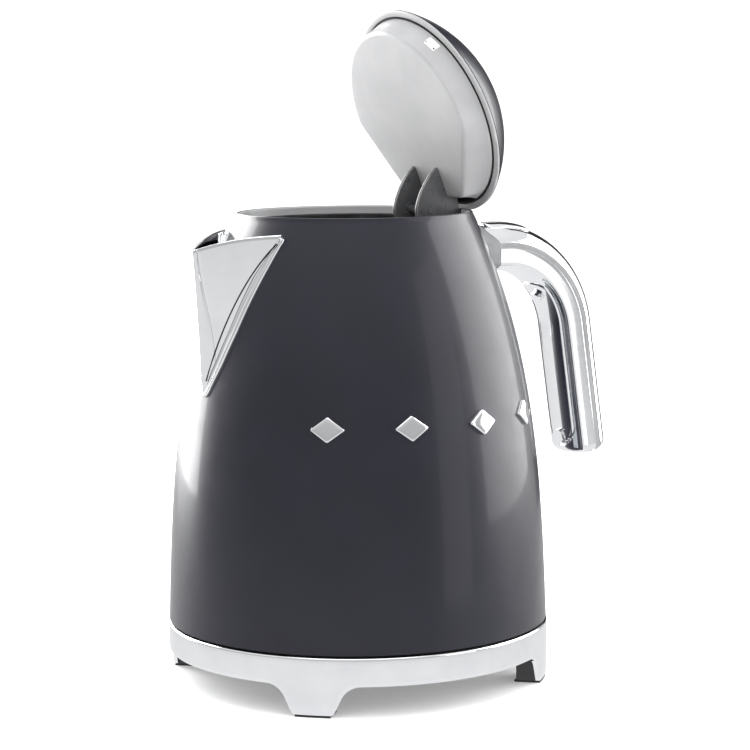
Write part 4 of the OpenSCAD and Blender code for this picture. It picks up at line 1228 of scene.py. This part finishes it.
def area_light(name, bearing, distance, height, aim_z, width, tall, power):
    """A soft box round the object, unseen by the camera itself."""
    data = bpy.data.lights.new(name, "AREA")
    data.shape = "RECTANGLE"
    data.size, data.size_y = width, tall
    data.energy = power
    light = add_object(name, data)
    aim(light, bearing, distance, height, aim_z)
    light.visible_camera = False


def glossy_flag(name, bearing, distance, height, width, tall, shade=0.02):
    """A dark card that only reflections see, as a photographer puts beside polished metal."""
    w, t = width / 2, tall / 2
    mesh = bpy.data.meshes.new(name)
    mesh.from_pydata([(-w, -t, 0), (w, -t, 0), (w, t, 0), (-w, t, 0)], [], [(0, 1, 2, 3)])
    card = Shader(name, Roughness=1.0, Specular_IOR_Level=0.0)
    card.color(card.ramp(card.noise(5, 2), shade * 0.9, shade))
    mesh.materials.append(card.mat)
    flag = add_object(name, mesh)
    aim(flag, bearing, distance, height, 0.12)
    for ray in ("camera", "diffuse", "shadow", "transmission", "volume_scatter"):
        setattr(flag, "visible_" + ray, False)


def make_world():
    """An even pale surround whose brightness changes only with height."""
    world = bpy.data.worlds.new("studio")
    world.use_nodes = True
    nodes, links = world.node_tree.nodes, world.node_tree.links
    coords = nodes.new("ShaderNodeTexCoord")
    split = nodes.new("ShaderNodeSeparateXYZ")
    links.new(coords.outputs["Generated"], split.inputs[0])
    rise = nodes.new("ShaderNodeMapRange")
    rise.inputs["From Min"].default_value = -1.0
    links.new(split.outputs["Z"], rise.inputs["Value"])
    ramp = nodes.new("ShaderNodeValToRGB")
    steps = [(-1.0, 0.95), (-0.3, 0.92), (-0.17, 0.80), (-0.11, 0.60)]
    steps += [(0.0, 0.48), (0.25, 0.55), (0.6, 0.85), (1.0, 1.0)]
    stops = ramp.color_ramp.elements
    while len(stops) < len(steps):
        stops.new(0.5)
    for stop, (z, _) in zip(stops, steps):
        stop.position = z / 2 + 0.5
    for stop, (_, level) in zip(stops, steps):
        stop.color = (level * 0.985, level * 0.99, level, 1)
    links.new(rise.outputs["Result"], ramp.inputs["Fac"])
    links.new(ramp.outputs["Color"], nodes["Background"].inputs["Color"])
    bpy.context.scene.world = world


def make_lights():
    """Tall soft boxes behind on both sides, one above, and dark cards between them."""
    area_light("left_box", -137, 1.1, 0.45, 0.12, 1.05, 1.0, 30)
    area_light("right_box", 110, 1.1, 0.45, 0.12, 1.15, 1.0, 14)
    area_light("side_box", 62, 1.2, 0.35, 0.12, 0.45, 1.0, 1.3)
    area_light("top_box", 0, 0.05, 1.5, 0, 1.3, 1.3, 9)
    glossy_flag("right_flag", 157, 0.9, 0.4, 0.36, 1.0)
    glossy_flag("left_flag", -172, 0.9, 0.4, 0.16, 1.0)
    glossy_flag("slim_flag", -150, 0.9, 0.4, 0.05, 1.0)
    glossy_flag("high_flag", 180, 0.95, 0.72, 1.5, 0.16)
    make_world()
    bpy.context.scene.view_settings.view_transform = "Standard"


make_camera()
make_floor()
make_lights()
dress_cad_nodes()
painted_body()
top_rings()
side_lozenges()
base_ring()
spout_shell()
spout_flange()
spout_painted_shade_line()
handle()
lid_rounds()
lid_cover()
lid_clips()
lid_arms()
